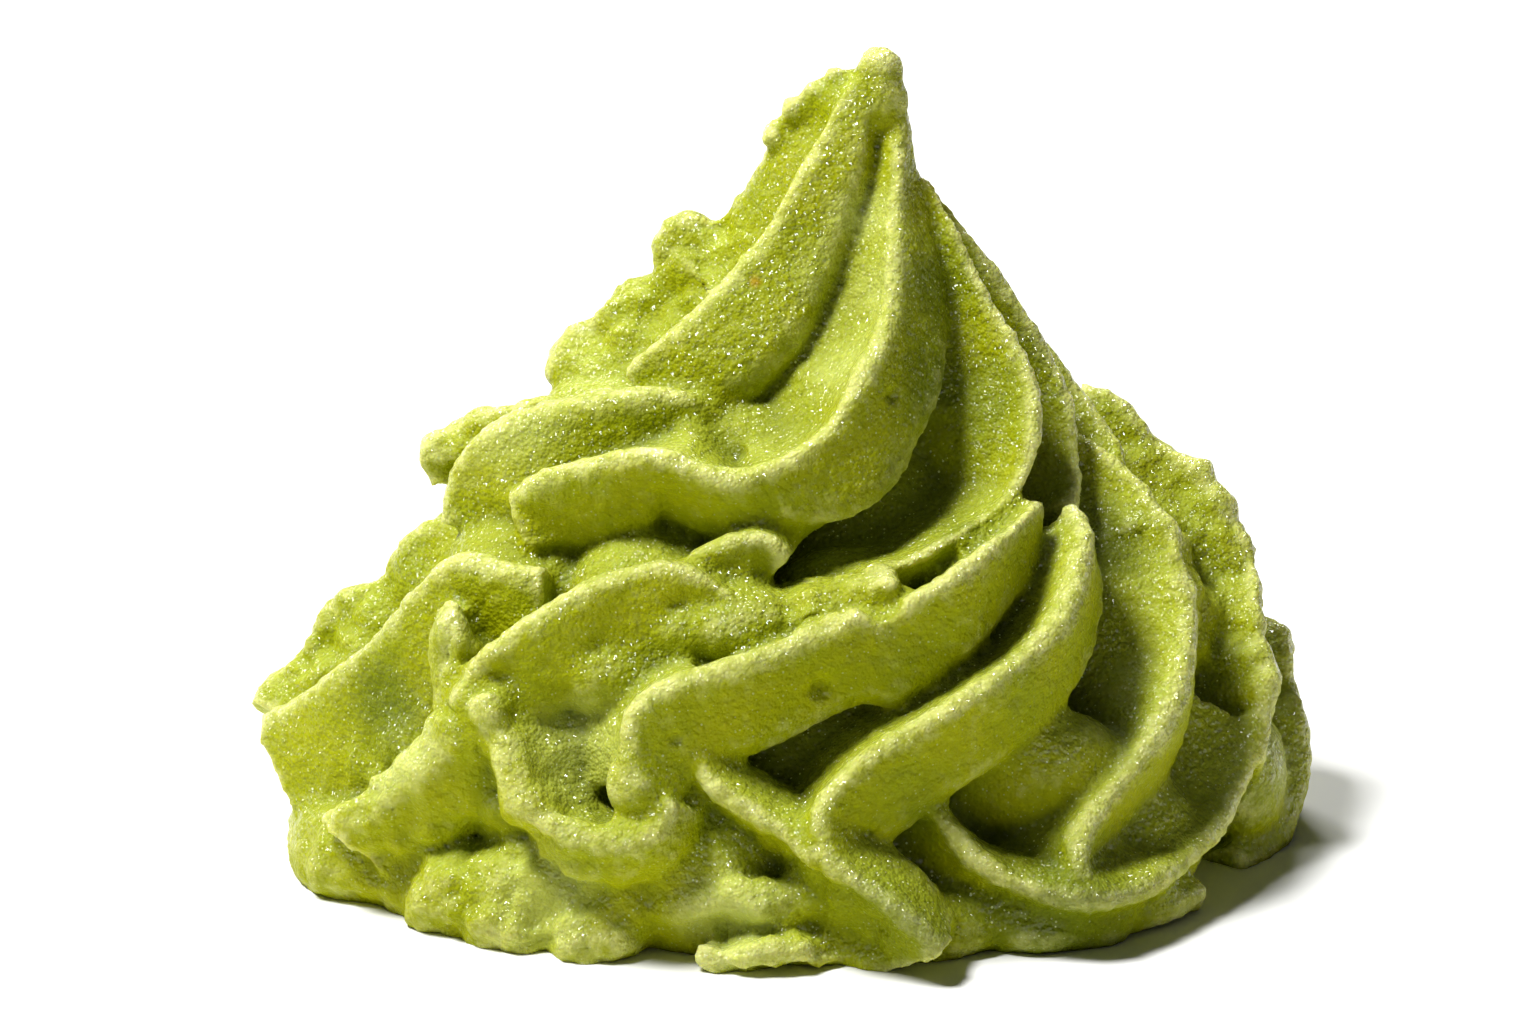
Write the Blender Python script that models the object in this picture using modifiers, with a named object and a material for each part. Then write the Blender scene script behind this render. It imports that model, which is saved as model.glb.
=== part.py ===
"""A dollop of wasabi paste, piped through a star nozzle and pulled up to a leaning tip.

The paste is one solid: a leaning core, the folds that the nozzle's teeth leave on it, and soft
lumps, all merged, then cut flat where the dollop rests. Lengths in the tables are millimetres, in
a frame with +X to the right, +Y to the back and +Z up. The folds wind clockwise going down, seen
from above. The finished mesh is in metres and centred over the origin, on z = 0.
"""

import math
from dataclasses import dataclass

import bmesh
import bpy
from mathutils import Matrix, Vector

OBJECT_NAME = "piped_wasabi_dollop"
NODE_NAME = "wasabi_paste"

MM = 0.001
VOXEL_SIDE = 0.32  # of the voxels that merge the shapes
SMOOTHING_PASSES = 2
SMOOTHING_FACTOR = 0.5
TARGET_TRIANGLES = 10400
SHARP_ANGLE = 60.0
RING_STEP = 0.55  # distance between a fold's rings
WELD = 1e-5  # in the shapes' own millimetres
CUT_TOLERANCE = 1e-7

PASTE_COLOUR = (0.36, 0.42, 0.06, 1.0)
PASTE_ROUGHNESS = 0.45

# The core: its radius at each height, round an axis that leans to +X going up.
CORE_PROFILE = (
    (-1.5, 13.2), (0.0, 13.6), (2.0, 13.4), (4.0, 12.4), (6.0, 11.2), (8.0, 9.8),
    (10.0, 8.2), (12.0, 6.5), (14.0, 4.9), (16.0, 3.7), (18.0, 2.7), (20.0, 1.9),
    (22.0, 1.3), (24.0, 0.8), (26.0, 0.4),
)
CORE_SEGMENTS = 48
AXIS_FOOT_X = 0.4
AXIS_LEAN = 0.11

# A fold's section: a hollow upper flank and a full lower one that tucks in at its root.
FLANK_HOLLOW = 1.7
BELLY_TURN = 0.86 * math.pi
FLANK_STEPS = 5
CREST_STEPS = 6
CREST_TURN = 130.0  # how far the crest's round edge turns, in degrees
CREST_SLOPE = 35.0  # how far the crests point up from the horizontal, in degrees
ROOT_DEPTH = 2.8
END_EDGE = 0.4  # the edge's radius where a fold dies out, as a share of its full radius
LEAST_FLANK = 1.05  # a flank is at least this many edge radii wide
LEAST_DEPTH = 1.6  # and a fold is at least this many edge radii deep

# The back of the dollop: two tiers of even folds.
BACK_RADII = (
    (24.0, 1.2), (20.0, 3.6), (16.0, 6.8), (13.0, 9.6), (10.0, 12.2), (6.0, 14.6),
    (3.0, 15.9), (0.5, 16.3),
)
BACK_STATIONS = 7
BACK_WAVE = 0.5  # how far the crests waver up and down
BACK_WAVE_SHIFT = 2.4  # from one fold to the next, in radians
BACK_WAVE_TURN = 5.0  # along one fold, in radians
BACK_CURL = 1.2  # over 1, the folds turn faster towards their ends
BACK_START_SHARE = 0.3
BACK_GROWTH = 1.1
BACK_WIDE_RADIUS = 9.0  # folds further out than this start larger
BACK_WIDE_SHARE = 0.5
BACK_END_LOSS = 0.15


@dataclass(frozen=True)
class Fold:
    """One fold: stations (x, y, z, share of full size) along its crest, and its full section."""

    crest: tuple
    upper: float  # half width at the root, above the crest
    lower: float  # half width at the root, below the crest
    depth: float  # height of the crest over the root
    edge: float  # radius of the crest
    slope: float = CREST_SLOPE


@dataclass(frozen=True)
class Tier:
    """Evenly spaced folds that wind down the back between two heights, angles in degrees."""

    starts: tuple
    sweep: float
    top: float
    foot: float
    upper: float
    lower: float
    depth: float
    edge: float


UPPER_FOLDS = (
    # The fold from the tip down to the left, and the torn rim behind it.
    Fold(((3.4, -0.1, 26.9, 0.22), (1.9, -0.9, 25.7, 0.35), (0.7, -1.8, 23.5, 0.6),
          (-0.5, -2.6, 21.6, 0.8), (-2.0, -3.3, 19.9, 1), (-3.5, -3.8, 18.5, 1),
          (-4.6, -3.8, 17.7, 0.95), (-5.4, -3.4, 16.7, 0.8)), 2.4, 2.1, 3.6, 0.5),
    Fold(((3.0, 0.1, 26.4, 0.35), (1.6, 0.3, 25.9, 0.5), (0.5, 0.5, 24.6, 0.6),
          (-0.4, 0.7, 23.5, 0.7), (-1.2, 0.9, 22.0, 0.85), (-2.0, 1.1, 21.0, 0.9),
          (-3.2, 1.4, 20.7, 1), (-4.2, 1.5, 19.9, 1), (-4.6, 1.4, 18.6, 1),
          (-5.4, 1.2, 17.8, 1), (-6.4, 1.0, 17.4, 1), (-7.8, 0.5, 16.2, 1),
          (-8.1, 0.2, 15.2, 0.9)), 2.6, 2.4, 3.8, 0.7),
    # The broad fold: steep below the tip, then to the left, with a drooping end.
    Fold(((3.9, -0.6, 25.0, 0.22), (3.8, -2.0, 23.1, 0.45), (3.7, -3.4, 21.5, 0.7),
          (3.6, -4.8, 19.8, 0.9), (3.2, -6.1, 18.6, 1), (2.4, -7.2, 17.6, 1),
          (1.5, -8.1, 16.5, 0.95), (0.5, -8.8, 15.8, 0.8), (-0.7, -9.2, 15.3, 0.55)),
         3.4, 2.5, 3.6, 0.45),
    Fold(((2.6, -7.0, 17.7, 0.7), (1.5, -8.1, 16.5, 0.9), (0.5, -8.8, 15.8, 1),
          (-0.7, -9.2, 15.3, 1), (-1.9, -9.3, 15.1, 1), (-3.1, -9.2, 15.4, 1),
          (-4.3, -9.0, 15.8, 1), (-6.4, -8.5, 15.4, 1), (-8.0, -7.8, 14.6, 1),
          (-9.2, -7.0, 13.6, 0.9)), 3.0, 1.6, 3.8, 0.5),
    Fold(((-9.1, -7.0, 13.8, 0.5), (-8.9, -7.5, 13.0, 0.5), (-8.6, -7.9, 12.0, 0.5)),
         2.6, 2.6, 3.0, 0.45),
    # The thin blade that turns in under the broad fold, and the fold to its right.
    Fold(((4.3, -0.6, 23.1, 0.3), (5.3, -1.2, 21.9, 0.5), (6.1, -2.0, 20.4, 0.7),
          (7.0, -2.8, 18.9, 0.9), (7.9, -3.6, 17.6, 1), (8.4, -4.6, 16.4, 1),
          (8.3, -5.6, 15.1, 1), (7.8, -6.6, 13.9, 1), (6.7, -7.7, 13.2, 1),
          (5.3, -8.9, 12.7, 1), (4.0, -9.7, 12.3, 0.9), (2.7, -10.2, 12.1, 0.8),
          (0.5, -10.8, 11.2, 0.7), (-0.7, -11.3, 11.3, 0.7), (-1.7, -11.9, 11.0, 0.6)),
         3.2, 0.6, 4.4, 0.3),
    Fold(((4.7, 0.3, 22.5, 0.3), (5.8, 0.0, 21.1, 0.5), (6.8, -0.3, 19.6, 0.7),
          (8.0, -0.6, 18.0, 0.9), (9.0, -1.0, 16.7, 1), (9.6, -1.6, 15.3, 1),
          (9.8, -2.6, 14.0, 1), (9.9, -3.8, 13.1, 1), (9.6, -5.0, 12.5, 0.8)),
         2.4, 1.4, 4.0, 0.4),
)

LOWER_FOLDS = (
    # The front fold: a thin wall, its middle, its end turned down and the roll there.
    Fold(((8.6, -6.6, 13.5, 0.6), (8.0, -8.2, 13.4, 0.8), (7.0, -10.0, 13.1, 0.9),
          (5.7, -11.5, 12.6, 1), (4.6, -12.0, 12.1, 1), (3.2, -12.3, 11.2, 1),
          (2.2, -12.4, 11.4, 1), (1.2, -12.6, 11.0, 0.9)), 0.5, 2.3, 3.8, 0.32),
    Fold(((3.6, -12.1, 11.0, 0.7), (2.2, -12.4, 11.4, 0.9), (1.2, -12.6, 11.0, 1),
          (-1.5, -13.2, 10.0, 1), (-4.0, -13.5, 9.3, 1), (-5.0, -13.7, 8.6, 0.8)),
         2.0, 2.2, 3.8, 0.42),
    Fold(((-3.0, -13.4, 9.6, 0.8), (-4.2, -13.5, 9.3, 0.9), (-5.0, -13.7, 8.6, 1),
          (-5.2, -13.9, 7.7, 1), (-5.1, -14.1, 6.8, 1), (-5.1, -14.3, 5.8, 0.9)),
         3.2, 1.6, 2.4, 0.42),
    Fold(((-3.9, -14.2, 5.9, 0.8), (-4.5, -14.7, 4.9, 0.9), (-6.2, -14.8, 4.6, 1),
          (-7.8, -14.3, 5.0, 1), (-8.9, -13.6, 5.8, 1), (-9.5, -12.9, 7.0, 1),
          (-10.2, -12.0, 8.4, 1)), 2.5, 1.0, 3.0, 0.75),
    # The fold whose tail runs down to the foot.
    Fold(((9.7, -5.6, 12.9, 0.7), (10.1, -7.2, 12.4, 0.85), (9.8, -8.8, 11.5, 1),
          (9.2, -10.2, 10.6, 1), (8.2, -11.4, 9.9, 1), (6.8, -12.6, 9.2, 1),
          (5.3, -13.5, 8.5, 1), (2.8, -14.3, 7.3, 1), (1.8, -14.6, 6.4, 1),
          (1.2, -15.0, 5.5, 0.9), (1.4, -15.4, 4.5, 0.9), (2.3, -15.8, 3.7, 0.9),
          (3.5, -16.2, 3.0, 0.9), (4.5, -16.4, 2.1, 0.9), (5.2, -16.4, 1.2, 0.8)),
         2.2, 2.3, 3.8, 0.5),
    # The two long folds on the right, and the rims of their feet.
    Fold(((9.8, -1.0, 13.8, 0.8), (11.0, -1.6, 13.3, 0.9), (12.2, -2.6, 12.4, 1),
          (13.1, -3.8, 11.3, 1), (13.5, -5.2, 10.1, 1), (13.6, -6.8, 8.7, 1),
          (13.2, -8.4, 7.4, 1), (12.3, -9.9, 6.2, 1), (11.2, -11.2, 5.3, 0.9),
          (10.3, -12.2, 4.5, 0.8), (9.8, -13.0, 3.7, 0.7), (9.8, -13.6, 2.9, 0.6),
          (10.5, -14.0, 2.2, 0.5)), 2.6, 2.0, 3.8, 0.5),
    Fold(((10.0, 3.5, 14.0, 0.8), (11.2, 3.2, 13.7, 0.9), (12.3, 2.6, 12.6, 1),
          (13.8, 1.8, 11.6, 1), (15.2, 0.8, 10.3, 1), (15.9, -0.5, 8.9, 1),
          (16.2, -2.4, 7.1, 1), (16.2, -4.2, 5.4, 0.9), (15.9, -6.0, 4.0, 0.7)),
         2.4, 2.0, 3.4, 0.5),
    Fold(((16.0, -4.8, 4.8, 0.7), (15.6, -6.6, 3.6, 0.9), (14.7, -8.6, 2.7, 1),
          (13.4, -10.8, 2.1, 1), (12.0, -12.7, 1.9, 0.9), (10.9, -13.9, 2.0, 0.7)),
         3.0, 0.9, 3.2, 0.5, 4.0),
    Fold(((4.8, -13.2, 5.2, 0.5), (6.4, -13.9, 3.4, 0.8), (7.9, -14.2, 2.6, 0.9),
          (9.4, -14.3, 2.2, 0.9), (10.8, -14.0, 2.0, 0.8)), 3.2, 0.9, 3.2, 0.5, 0.0),
    # The lobe at the far right.
    Fold(((16.1, 3.0, 6.3, 1), (17.1, 1.5, 5.4, 1), (17.6, 0.0, 3.7, 1),
          (17.7, -1.5, 2.1, 1), (16.7, -4.0, 0.6, 1), (15.2, -6.0, 0.4, 1)),
         2.0, 2.0, 3.2, 0.7),
    # The wedge torn out of the front fold's rim.
    Fold(((2.2, -11.4, 11.2, 0.5), (2.8, -11.4, 12.1, 0.6), (3.5, -11.5, 12.3, 0.5)),
         0.4, 1.4, 2.2, 0.28),
    # The flap beside the tail.
    Fold(((-3.0, -13.5, 6.9, 0.8), (-2.4, -14.0, 6.1, 0.9), (-0.9, -14.5, 5.2, 1),
          (0.4, -15.0, 4.5, 1), (1.6, -15.5, 3.9, 0.8)), 2.4, 0.9, 3.0, 0.45, 10.0),
)

LEFT_FOLDS = (
    # The two folds over the broad fold's end.
    Fold(((-1.9, -5.0, 15.3, 0.5), (-3.2, -5.7, 16.4, 0.8), (-4.8, -5.8, 16.8, 1),
          (-6.8, -5.6, 16.5, 1), (-8.5, -5.4, 16.0, 1), (-10.0, -5.2, 15.3, 1),
          (-10.9, -5.0, 14.2, 1), (-11.3, -5.0, 13.0, 1), (-11.4, -5.2, 12.0, 0.9)),
         2.0, 2.6, 4.0, 0.6),
    Fold(((-7.5, -2.5, 15.4, 0.8), (-9.0, -2.2, 15.3, 1), (-10.5, -1.9, 14.6, 1),
          (-11.7, -1.8, 14.0, 1), (-12.1, -1.8, 13.2, 0.9), (-11.8, -2.2, 12.2, 0.8)),
         1.8, 2.4, 4.0, 0.5),
    # The low fold of the left outline, and the one in front of it.
    Fold(((-11.3, -3.0, 11.4, 0.9), (-12.8, -2.5, 10.7, 1), (-13.8, -2.0, 9.2, 1),
          (-15.0, -1.6, 8.0, 1), (-16.0, -1.4, 6.7, 1), (-17.6, -1.4, 5.2, 1),
          (-18.1, -1.8, 4.4, 0.9)), 2.6, 3.0, 4.2, 0.7),
    Fold(((-8.0, -9.5, 11.8, 0.9), (-9.5, -9.0, 11.8, 1), (-10.9, -8.2, 11.8, 1),
          (-12.2, -7.6, 10.6, 1), (-13.0, -7.2, 9.4, 1), (-14.1, -6.6, 7.9, 1),
          (-15.3, -5.8, 6.7, 1), (-16.5, -4.8, 5.5, 1), (-17.6, -4.0, 4.5, 0.9)),
         2.4, 3.0, 4.2, 0.5),
    # The short broken fold over the pocket, its narrow end, and the ridge behind it.
    Fold(((-1.2, -11.4, 11.3, 0.9), (-2.2, -11.3, 11.9, 0.9), (-3.2, -11.2, 12.5, 1),
          (-4.2, -11.1, 12.7, 1), (-5.8, -11.0, 12.2, 1), (-6.8, -10.9, 11.8, 0.9)),
         1.8, 2.8, 3.6, 0.42),
    Fold(((-4.2, -11.1, 12.7, 0.9), (-5.8, -11.1, 12.2, 1), (-7.3, -11.2, 11.6, 1),
          (-8.5, -11.2, 10.8, 1), (-9.5, -11.2, 9.9, 1), (-10.4, -11.2, 9.0, 1),
          (-10.9, -11.4, 8.2, 0.9)), 1.8, 1.9, 3.4, 0.42),
    Fold(((0.2, -10.0, 12.5, 0.7), (-0.8, -9.9, 13.3, 0.9), (-2.2, -10.0, 13.0, 0.9),
          (-3.3, -10.2, 12.6, 0.8)), 1.6, 2.4, 2.8, 0.42),
    # The tongue.
    Fold(((-10.4, -11.5, 7.9, 0.8), (-11.8, -11.3, 6.5, 1), (-13.3, -10.6, 4.9, 1),
          (-14.8, -9.8, 3.5, 1), (-15.3, -9.6, 2.9, 0.95)), 1.8, 1.6, 3.2, 1.1),
)

SKIRT_FOLDS = (
    # The lobes under the roll.
    Fold(((2.4, -13.8, 1.9, 0.8), (0.2, -14.6, 2.4, 1), (-2.6, -14.4, 2.2, 1),
          (-4.4, -13.8, 1.8, 1), (-5.6, -13.0, 1.2, 0.8)), 1.0, 2.0, 3.2, 0.7, 20.0),
    Fold(((2.0, -14.8, 0.5, 0.9), (0.2, -15.6, 0.7, 1), (-1.6, -15.7, 0.6, 1),
          (-3.0, -15.0, 0.5, 0.9)), 1.2, 0.8, 2.8, 0.6, 10.0),
    # The lobes under the feet of the long folds.
    Fold(((6.3, -13.2, 0.6, 0.8), (7.8, -13.9, 0.7, 1), (9.4, -13.7, 0.7, 1),
          (10.8, -12.6, 0.6, 0.9)), 0.9, 0.9, 2.6, 0.7, 5.0),
    Fold(((11.6, -12.0, 0.6, 0.9), (13.0, -11.2, 0.7, 0.9), (14.1, -9.6, 0.6, 0.8)),
         0.9, 0.9, 2.6, 0.7, 5.0),
)

BACK_TIERS = (
    Tier((163.0, 128.0, 92.0, 58.0), 78.0, 23.0, 11.5, 2.4, 2.2, 3.4, 0.5),
    Tier((219.0, 196.0, 170.0, 145.0, 120.0, 95.0, 70.0, 45.0), 52.0, 13.5, 0.8,
         2.4, 2.2, 3.6, 0.5),
)

# Soft lumps: centre x, y, z and radii along x, y, z.
LUMPS = (
    # The blunt tip, and the beads down its left edge.
    (3.15, -0.2, 26.3, 0.8, 0.65, 0.8),
    (3.1, -0.3, 25.2, 0.95, 0.8, 1.2),
    (2.0, 0.0, 25.0, 1.1, 0.8, 0.9),
    (0.9, 0.3, 23.4, 0.8, 0.8, 1.0),
    (1.65, 0.1, 25.95, 0.4, 0.4, 0.35),
    (1.0, 0.2, 25.4, 0.45, 0.45, 0.4),
    (0.35, 0.3, 24.7, 0.5, 0.5, 0.45),
    (-0.25, 0.4, 23.8, 0.5, 0.5, 0.5),
    (1.1, -9.7, 10.5, 2.2, 1.7, 1.2),
    (-1.6, -10.4, 10.5, 2.2, 1.6, 1.4),
    (-3.2, -10.3, 10.3, 2.2, 1.4, 1.3),
    (-5.7, -10.8, 8.8, 2.0, 1.2, 1.4),
    (-1.3, -4.4, 14.5, 2.4, 1.9, 1.5),
    (3.4, -10.9, 11.1, 1.5, 0.9, 0.9),
    # The paste behind the folds.
    (-8.4, -5.6, 9.6, 3.2, 3.2, 3.2),
    (-5.4, -1.4, 13.0, 3.6, 3.4, 3.0),
    (-9.0, -2.0, 8.0, 4.2, 3.6, 4.0),
    (7.6, 0.4, 11.8, 3.0, 3.4, 3.0),
    (-4.4, -7.8, 10.2, 3.0, 2.6, 2.6),
    (-7.0, -8.4, 5.2, 3.0, 2.6, 2.8),
    (-11.2, -5.6, 4.0, 3.3, 3.8, 3.7),
    (-13.8, -5.4, 1.0, 2.9, 4.2, 2.4),
    (-12.0, -8.2, 0.8, 2.2, 2.4, 2.0),
    (-10.4, -10.4, 1.0, 2.4, 2.2, 1.8),
    (-8.0, -11.4, 1.6, 2.6, 2.1, 2.0),
    (-8.9, -12.3, 0.6, 1.8, 1.5, 1.1),
    (-6.3, -12.9, 0.8, 2.0, 1.7, 1.4),
    (7.6, -9.6, 5.0, 3.8, 2.0, 2.4),
    (-5.8, -12.2, 1.4, 2.4, 2.0, 1.8),
    (-3.2, -12.0, 5.4, 1.3, 1.2, 1.3),
    (-8.0, -10.3, 4.6, 2.6, 1.8, 2.4),
    (-4.9, -13.5, 5.9, 1.0, 0.9, 1.2),
    (-3.0, -11.4, 2.4, 3.6, 2.6, 2.6),
    (-11.0, -9.4, 8.8, 0.8, 1.2, 2.1),
    (3.6, -12.4, 0.8, 4.0, 2.2, 1.6),
    (8.2, -11.2, 1.0, 3.6, 2.6, 2.2),
    (11.0, -7.8, 2.0, 3.0, 3.0, 2.6),
    (15.3, -2.6, 2.0, 1.6, 3.0, 2.2),
    (2.2, -7.4, 9.8, 3.0, 2.2, 2.2),
    (12.2, -1.5, 7.0, 2.4, 3.0, 3.6),
)


def axis_x(height):
    """The x of the leaning core's axis at this height."""
    return AXIS_FOOT_X + AXIS_LEAN * max(0.0, height)


def mix(a, b, share):
    return a + (b - a) * share


def spline(stations, step):
    """Points about a step apart on the Catmull-Rom curve through the stations."""
    knots = [Vector(station) for station in stations]
    knots = [2 * knots[0] - knots[1], *knots, 2 * knots[-1] - knots[-2]]
    points = []
    for before, start, end, after in zip(knots, knots[1:], knots[2:], knots[3:]):
        count = max(1, round((end.xyz - start.xyz).length / step))
        for turn in range(count):
            t = turn / count
            points.append(0.5 * (2 * start + (end - before) * t
                                 + (2 * before - 5 * start + 4 * end - after) * t ** 2
                                 + (3 * start - before - 3 * end + after) * t ** 3))
    points.append(knots[-2])
    return points


def section(fold, share):
    """Points (across, outward) round the fold's section, whose crest is at (0, 0)."""
    edge = fold.edge * mix(END_EDGE, 1.0, share)
    upper = max(fold.upper * share, edge * LEAST_FLANK)
    lower = max(fold.lower * share, edge * LEAST_FLANK)
    depth = max(fold.depth * share, edge * LEAST_DEPTH)
    down = [step / FLANK_STEPS for step in range(FLANK_STEPS, 0, -1)]
    points = [(mix(edge, upper, s ** FLANK_HOLLOW), -mix(edge, depth, s)) for s in down]
    for step in range(CREST_STEPS + 1):
        angle = math.radians(90.0 - CREST_TURN * step / CREST_STEPS)
        points.append((edge * math.sin(angle), edge * (math.cos(angle) - 1.0)))
    points += [(-mix(edge, lower, math.sin(BELLY_TURN * s)), -mix(edge, depth, s))
               for s in reversed(down)]
    points.append((0.0, -depth - ROOT_DEPTH * share))
    return points


def rings_of(fold):
    """The fold's sections along its crest, as lists of points in space."""
    path = spline(fold.crest, RING_STEP)
    slope = math.radians(fold.slope)
    rings = []
    for index, point in enumerate(path):
        ahead = path[min(index + 1, len(path) - 1)].xyz
        along = (ahead - path[max(index - 1, 0)].xyz).normalized()
        spoke = Vector((point.x - axis_x(point.z), point.y, 0.0)).normalized()
        outward = spoke * math.cos(slope) + Vector((0.0, 0.0, math.sin(slope)))
        outward = (outward - along * along.dot(outward)).normalized()
        across = along.cross(outward)
        rings.append([point.xyz + across * a + outward * b
                      for a, b in section(fold, point.w)])
    return rings


def add_fold(bm, fold):
    """Rolls a flat grid round the fold's rings, then welds its seam and closes its ends."""
    rings = rings_of(fold)
    length, around = len(rings) - 1, len(rings[0])
    made = bmesh.ops.create_grid(bm, x_segments=length, y_segments=around, size=1.0)["verts"]
    for vert in made:
        ring = rings[round((vert.co.x + 1.0) / 2.0 * length)]
        vert.co = ring[round((vert.co.y + 1.0) / 2.0 * around) % around]
    bmesh.ops.remove_doubles(bm, verts=made, dist=WELD)
    edges = {edge for vert in made if vert.is_valid for edge in vert.link_edges}
    bmesh.ops.holes_fill(bm, edges=[edge for edge in edges if edge.is_boundary], sides=0)


def add_core(bm):
    """Turns the core's profile, then leans it along its axis."""
    verts = [bm.verts.new((radius, 0.0, height)) for height, radius in CORE_PROFILE]
    edges = [bm.edges.new(pair) for pair in zip(verts, verts[1:])]
    bmesh.ops.spin(bm, geom=verts + edges, axis=(0, 0, 1), cent=(0, 0, 0), dvec=(0, 0, 0),
                   angle=2 * math.pi, steps=CORE_SEGMENTS, use_merge=True)
    bmesh.ops.holes_fill(bm, edges=[edge for edge in bm.edges if edge.is_boundary], sides=0)
    for vert in bm.verts:
        vert.co.x += axis_x(vert.co.z)


def add_lump(bm, x, y, z, *radii):
    place = Matrix.LocRotScale(Vector((x, y, z)), None, Vector(radii))
    bmesh.ops.create_icosphere(bm, subdivisions=3, radius=1.0, matrix=place)


def back_radius(height):
    """The radius of the back folds' crests at this height."""
    for (high, small), (low, large) in zip(BACK_RADII, BACK_RADII[1:]):
        if height >= low:
            return mix(large, small, (height - low) / (high - low))
    return BACK_RADII[-1][1]


def folds_of(tier):
    """The tier's folds: each starts small, runs at full size and ends a little smaller."""
    for number, start in enumerate(tier.starts):
        stations = []
        for step in range(BACK_STATIONS):
            t = step / (BACK_STATIONS - 1)
            wave = BACK_WAVE * math.sin(BACK_WAVE_SHIFT * number + BACK_WAVE_TURN * t)
            height = mix(tier.top, tier.foot, t) + wave
            angle = math.radians(start - tier.sweep * t ** BACK_CURL)
            reach = back_radius(height)
            share = BACK_START_SHARE + BACK_GROWTH * t
            if reach > BACK_WIDE_RADIUS:
                share += BACK_WIDE_SHARE
            share = min(1.0, share)
            if t == 1.0:
                share -= BACK_END_LOSS
            stations.append((axis_x(height) + reach * math.cos(angle),
                             reach * math.sin(angle), height, share))
        yield Fold(tuple(stations), tier.upper, tier.lower, tier.depth, tier.edge)


def rough_paste():
    """A mesh of every shape, still overlapping, in metres."""
    bm = bmesh.new()
    add_core(bm)
    for fold in UPPER_FOLDS + LOWER_FOLDS + LEFT_FOLDS + SKIRT_FOLDS:
        add_fold(bm, fold)
    for tier in BACK_TIERS:
        for fold in folds_of(tier):
            add_fold(bm, fold)
    for lump in LUMPS:
        add_lump(bm, *lump)
    bmesh.ops.recalc_face_normals(bm, faces=bm.faces)
    bmesh.ops.scale(bm, vec=(MM, MM, MM), verts=bm.verts)
    mesh = bpy.data.meshes.new("rough_paste")
    bm.to_mesh(mesh)
    bm.free()
    return mesh


def evaluated_mesh(obj):
    graph = bpy.context.evaluated_depsgraph_get()
    return bpy.data.meshes.new_from_object(obj.evaluated_get(graph))


def merged(mesh):
    """The mesh's overlapping shapes made one skin, smoothed and thinned."""
    obj = bpy.data.objects.new("merging", mesh)
    bpy.context.scene.collection.objects.link(obj)
    remesh = obj.modifiers.new("merge", "REMESH")
    remesh.mode = "VOXEL"
    remesh.voxel_size = VOXEL_SIDE * MM
    soften = obj.modifiers.new("soften", "SMOOTH")
    soften.factor = SMOOTHING_FACTOR
    soften.iterations = SMOOTHING_PASSES
    dense = evaluated_mesh(obj)
    thin = obj.modifiers.new("thin", "DECIMATE")
    thin.ratio = TARGET_TRIANGLES / (2 * len(dense.polygons))
    result = evaluated_mesh(obj)
    bpy.data.objects.remove(obj)
    return result


def island_of(face):
    """Every face joined to this one."""
    found, waiting = {face}, [face]
    while waiting:
        for edge in waiting.pop().edges:
            for other in edge.link_faces:
                if other not in found:
                    found.add(other)
                    waiting.append(other)
    return found


def keep_outer_skin(bm):
    """Removes the closed pockets that the folds shut in, so the paste is solid."""
    highest = max(bm.verts, key=lambda vert: vert.co.z)
    outer = island_of(highest.link_faces[0])
    inner = [face for face in bm.faces if face not in outer]
    bmesh.ops.delete(bm, geom=inner, context="FACES")


def rest_flat(bm):
    """Cuts the paste off at z = 0 and centres it over the origin."""
    everything = bm.verts[:] + bm.edges[:] + bm.faces[:]
    bmesh.ops.bisect_plane(bm, geom=everything, dist=CUT_TOLERANCE, plane_co=(0, 0, 0),
                           plane_no=(0, 0, -1), clear_outer=True)
    rim = [edge for edge in bm.edges if edge.is_boundary]
    bmesh.ops.holes_fill(bm, edges=rim, sides=0)
    bmesh.ops.triangulate(bm, faces=[face for face in bm.faces if len(face.verts) > 3])
    for axis in (0, 1):
        places = [vert.co[axis] for vert in bm.verts]
        middle = (min(places) + max(places)) / 2.0
        for vert in bm.verts:
            vert.co[axis] -= middle


def paste_material():
    """Moist, pale green wasabi paste."""
    material = bpy.data.materials.new("wasabi_paste")
    material.use_nodes = True
    shader = material.node_tree.nodes["Principled BSDF"]
    shader.inputs["Base Color"].default_value = PASTE_COLOUR
    shader.inputs["Roughness"].default_value = PASTE_ROUGHNESS
    shader.inputs["Metallic"].default_value = 0.0
    return material


def build_paste(collection):
    mesh = merged(rough_paste())
    bm = bmesh.new()
    bm.from_mesh(mesh)
    keep_outer_skin(bm)
    rest_flat(bm)
    bm.to_mesh(mesh)
    bm.free()
    mesh.name = NODE_NAME
    mesh.materials.append(paste_material())
    mesh.shade_smooth()
    mesh.set_sharp_from_angle(angle=math.radians(SHARP_ANGLE))
    collection.objects.link(bpy.data.objects.new(NODE_NAME, mesh))


def main():
    for obj in list(bpy.data.objects):
        bpy.data.objects.remove(obj)
    collection = bpy.data.collections.new(OBJECT_NAME)
    bpy.context.scene.collection.children.link(collection)
    build_paste(collection)


if __name__ == "__main__":
    main()
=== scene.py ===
"""Looks for one dollop of wasabi paste, piped through a star nozzle and pulled up to a tip.

The dollop is one piece. Its folds, core and lumps are swept and placed with bmesh operators,
merged into one skin, given the lumps, torn edges and grain of real paste, and fitted to the box
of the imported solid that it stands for. Lengths in the tables are millimetres, in a frame with +X
to the right, +Y to the back and +Z up.
"""

from __future__ import annotations

import logging
import math
from collections.abc import Iterator
from dataclasses import dataclass, field
from enum import Enum

import bmesh
import bpy
from mathutils import Matrix, Quaternion, Vector, noise


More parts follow.
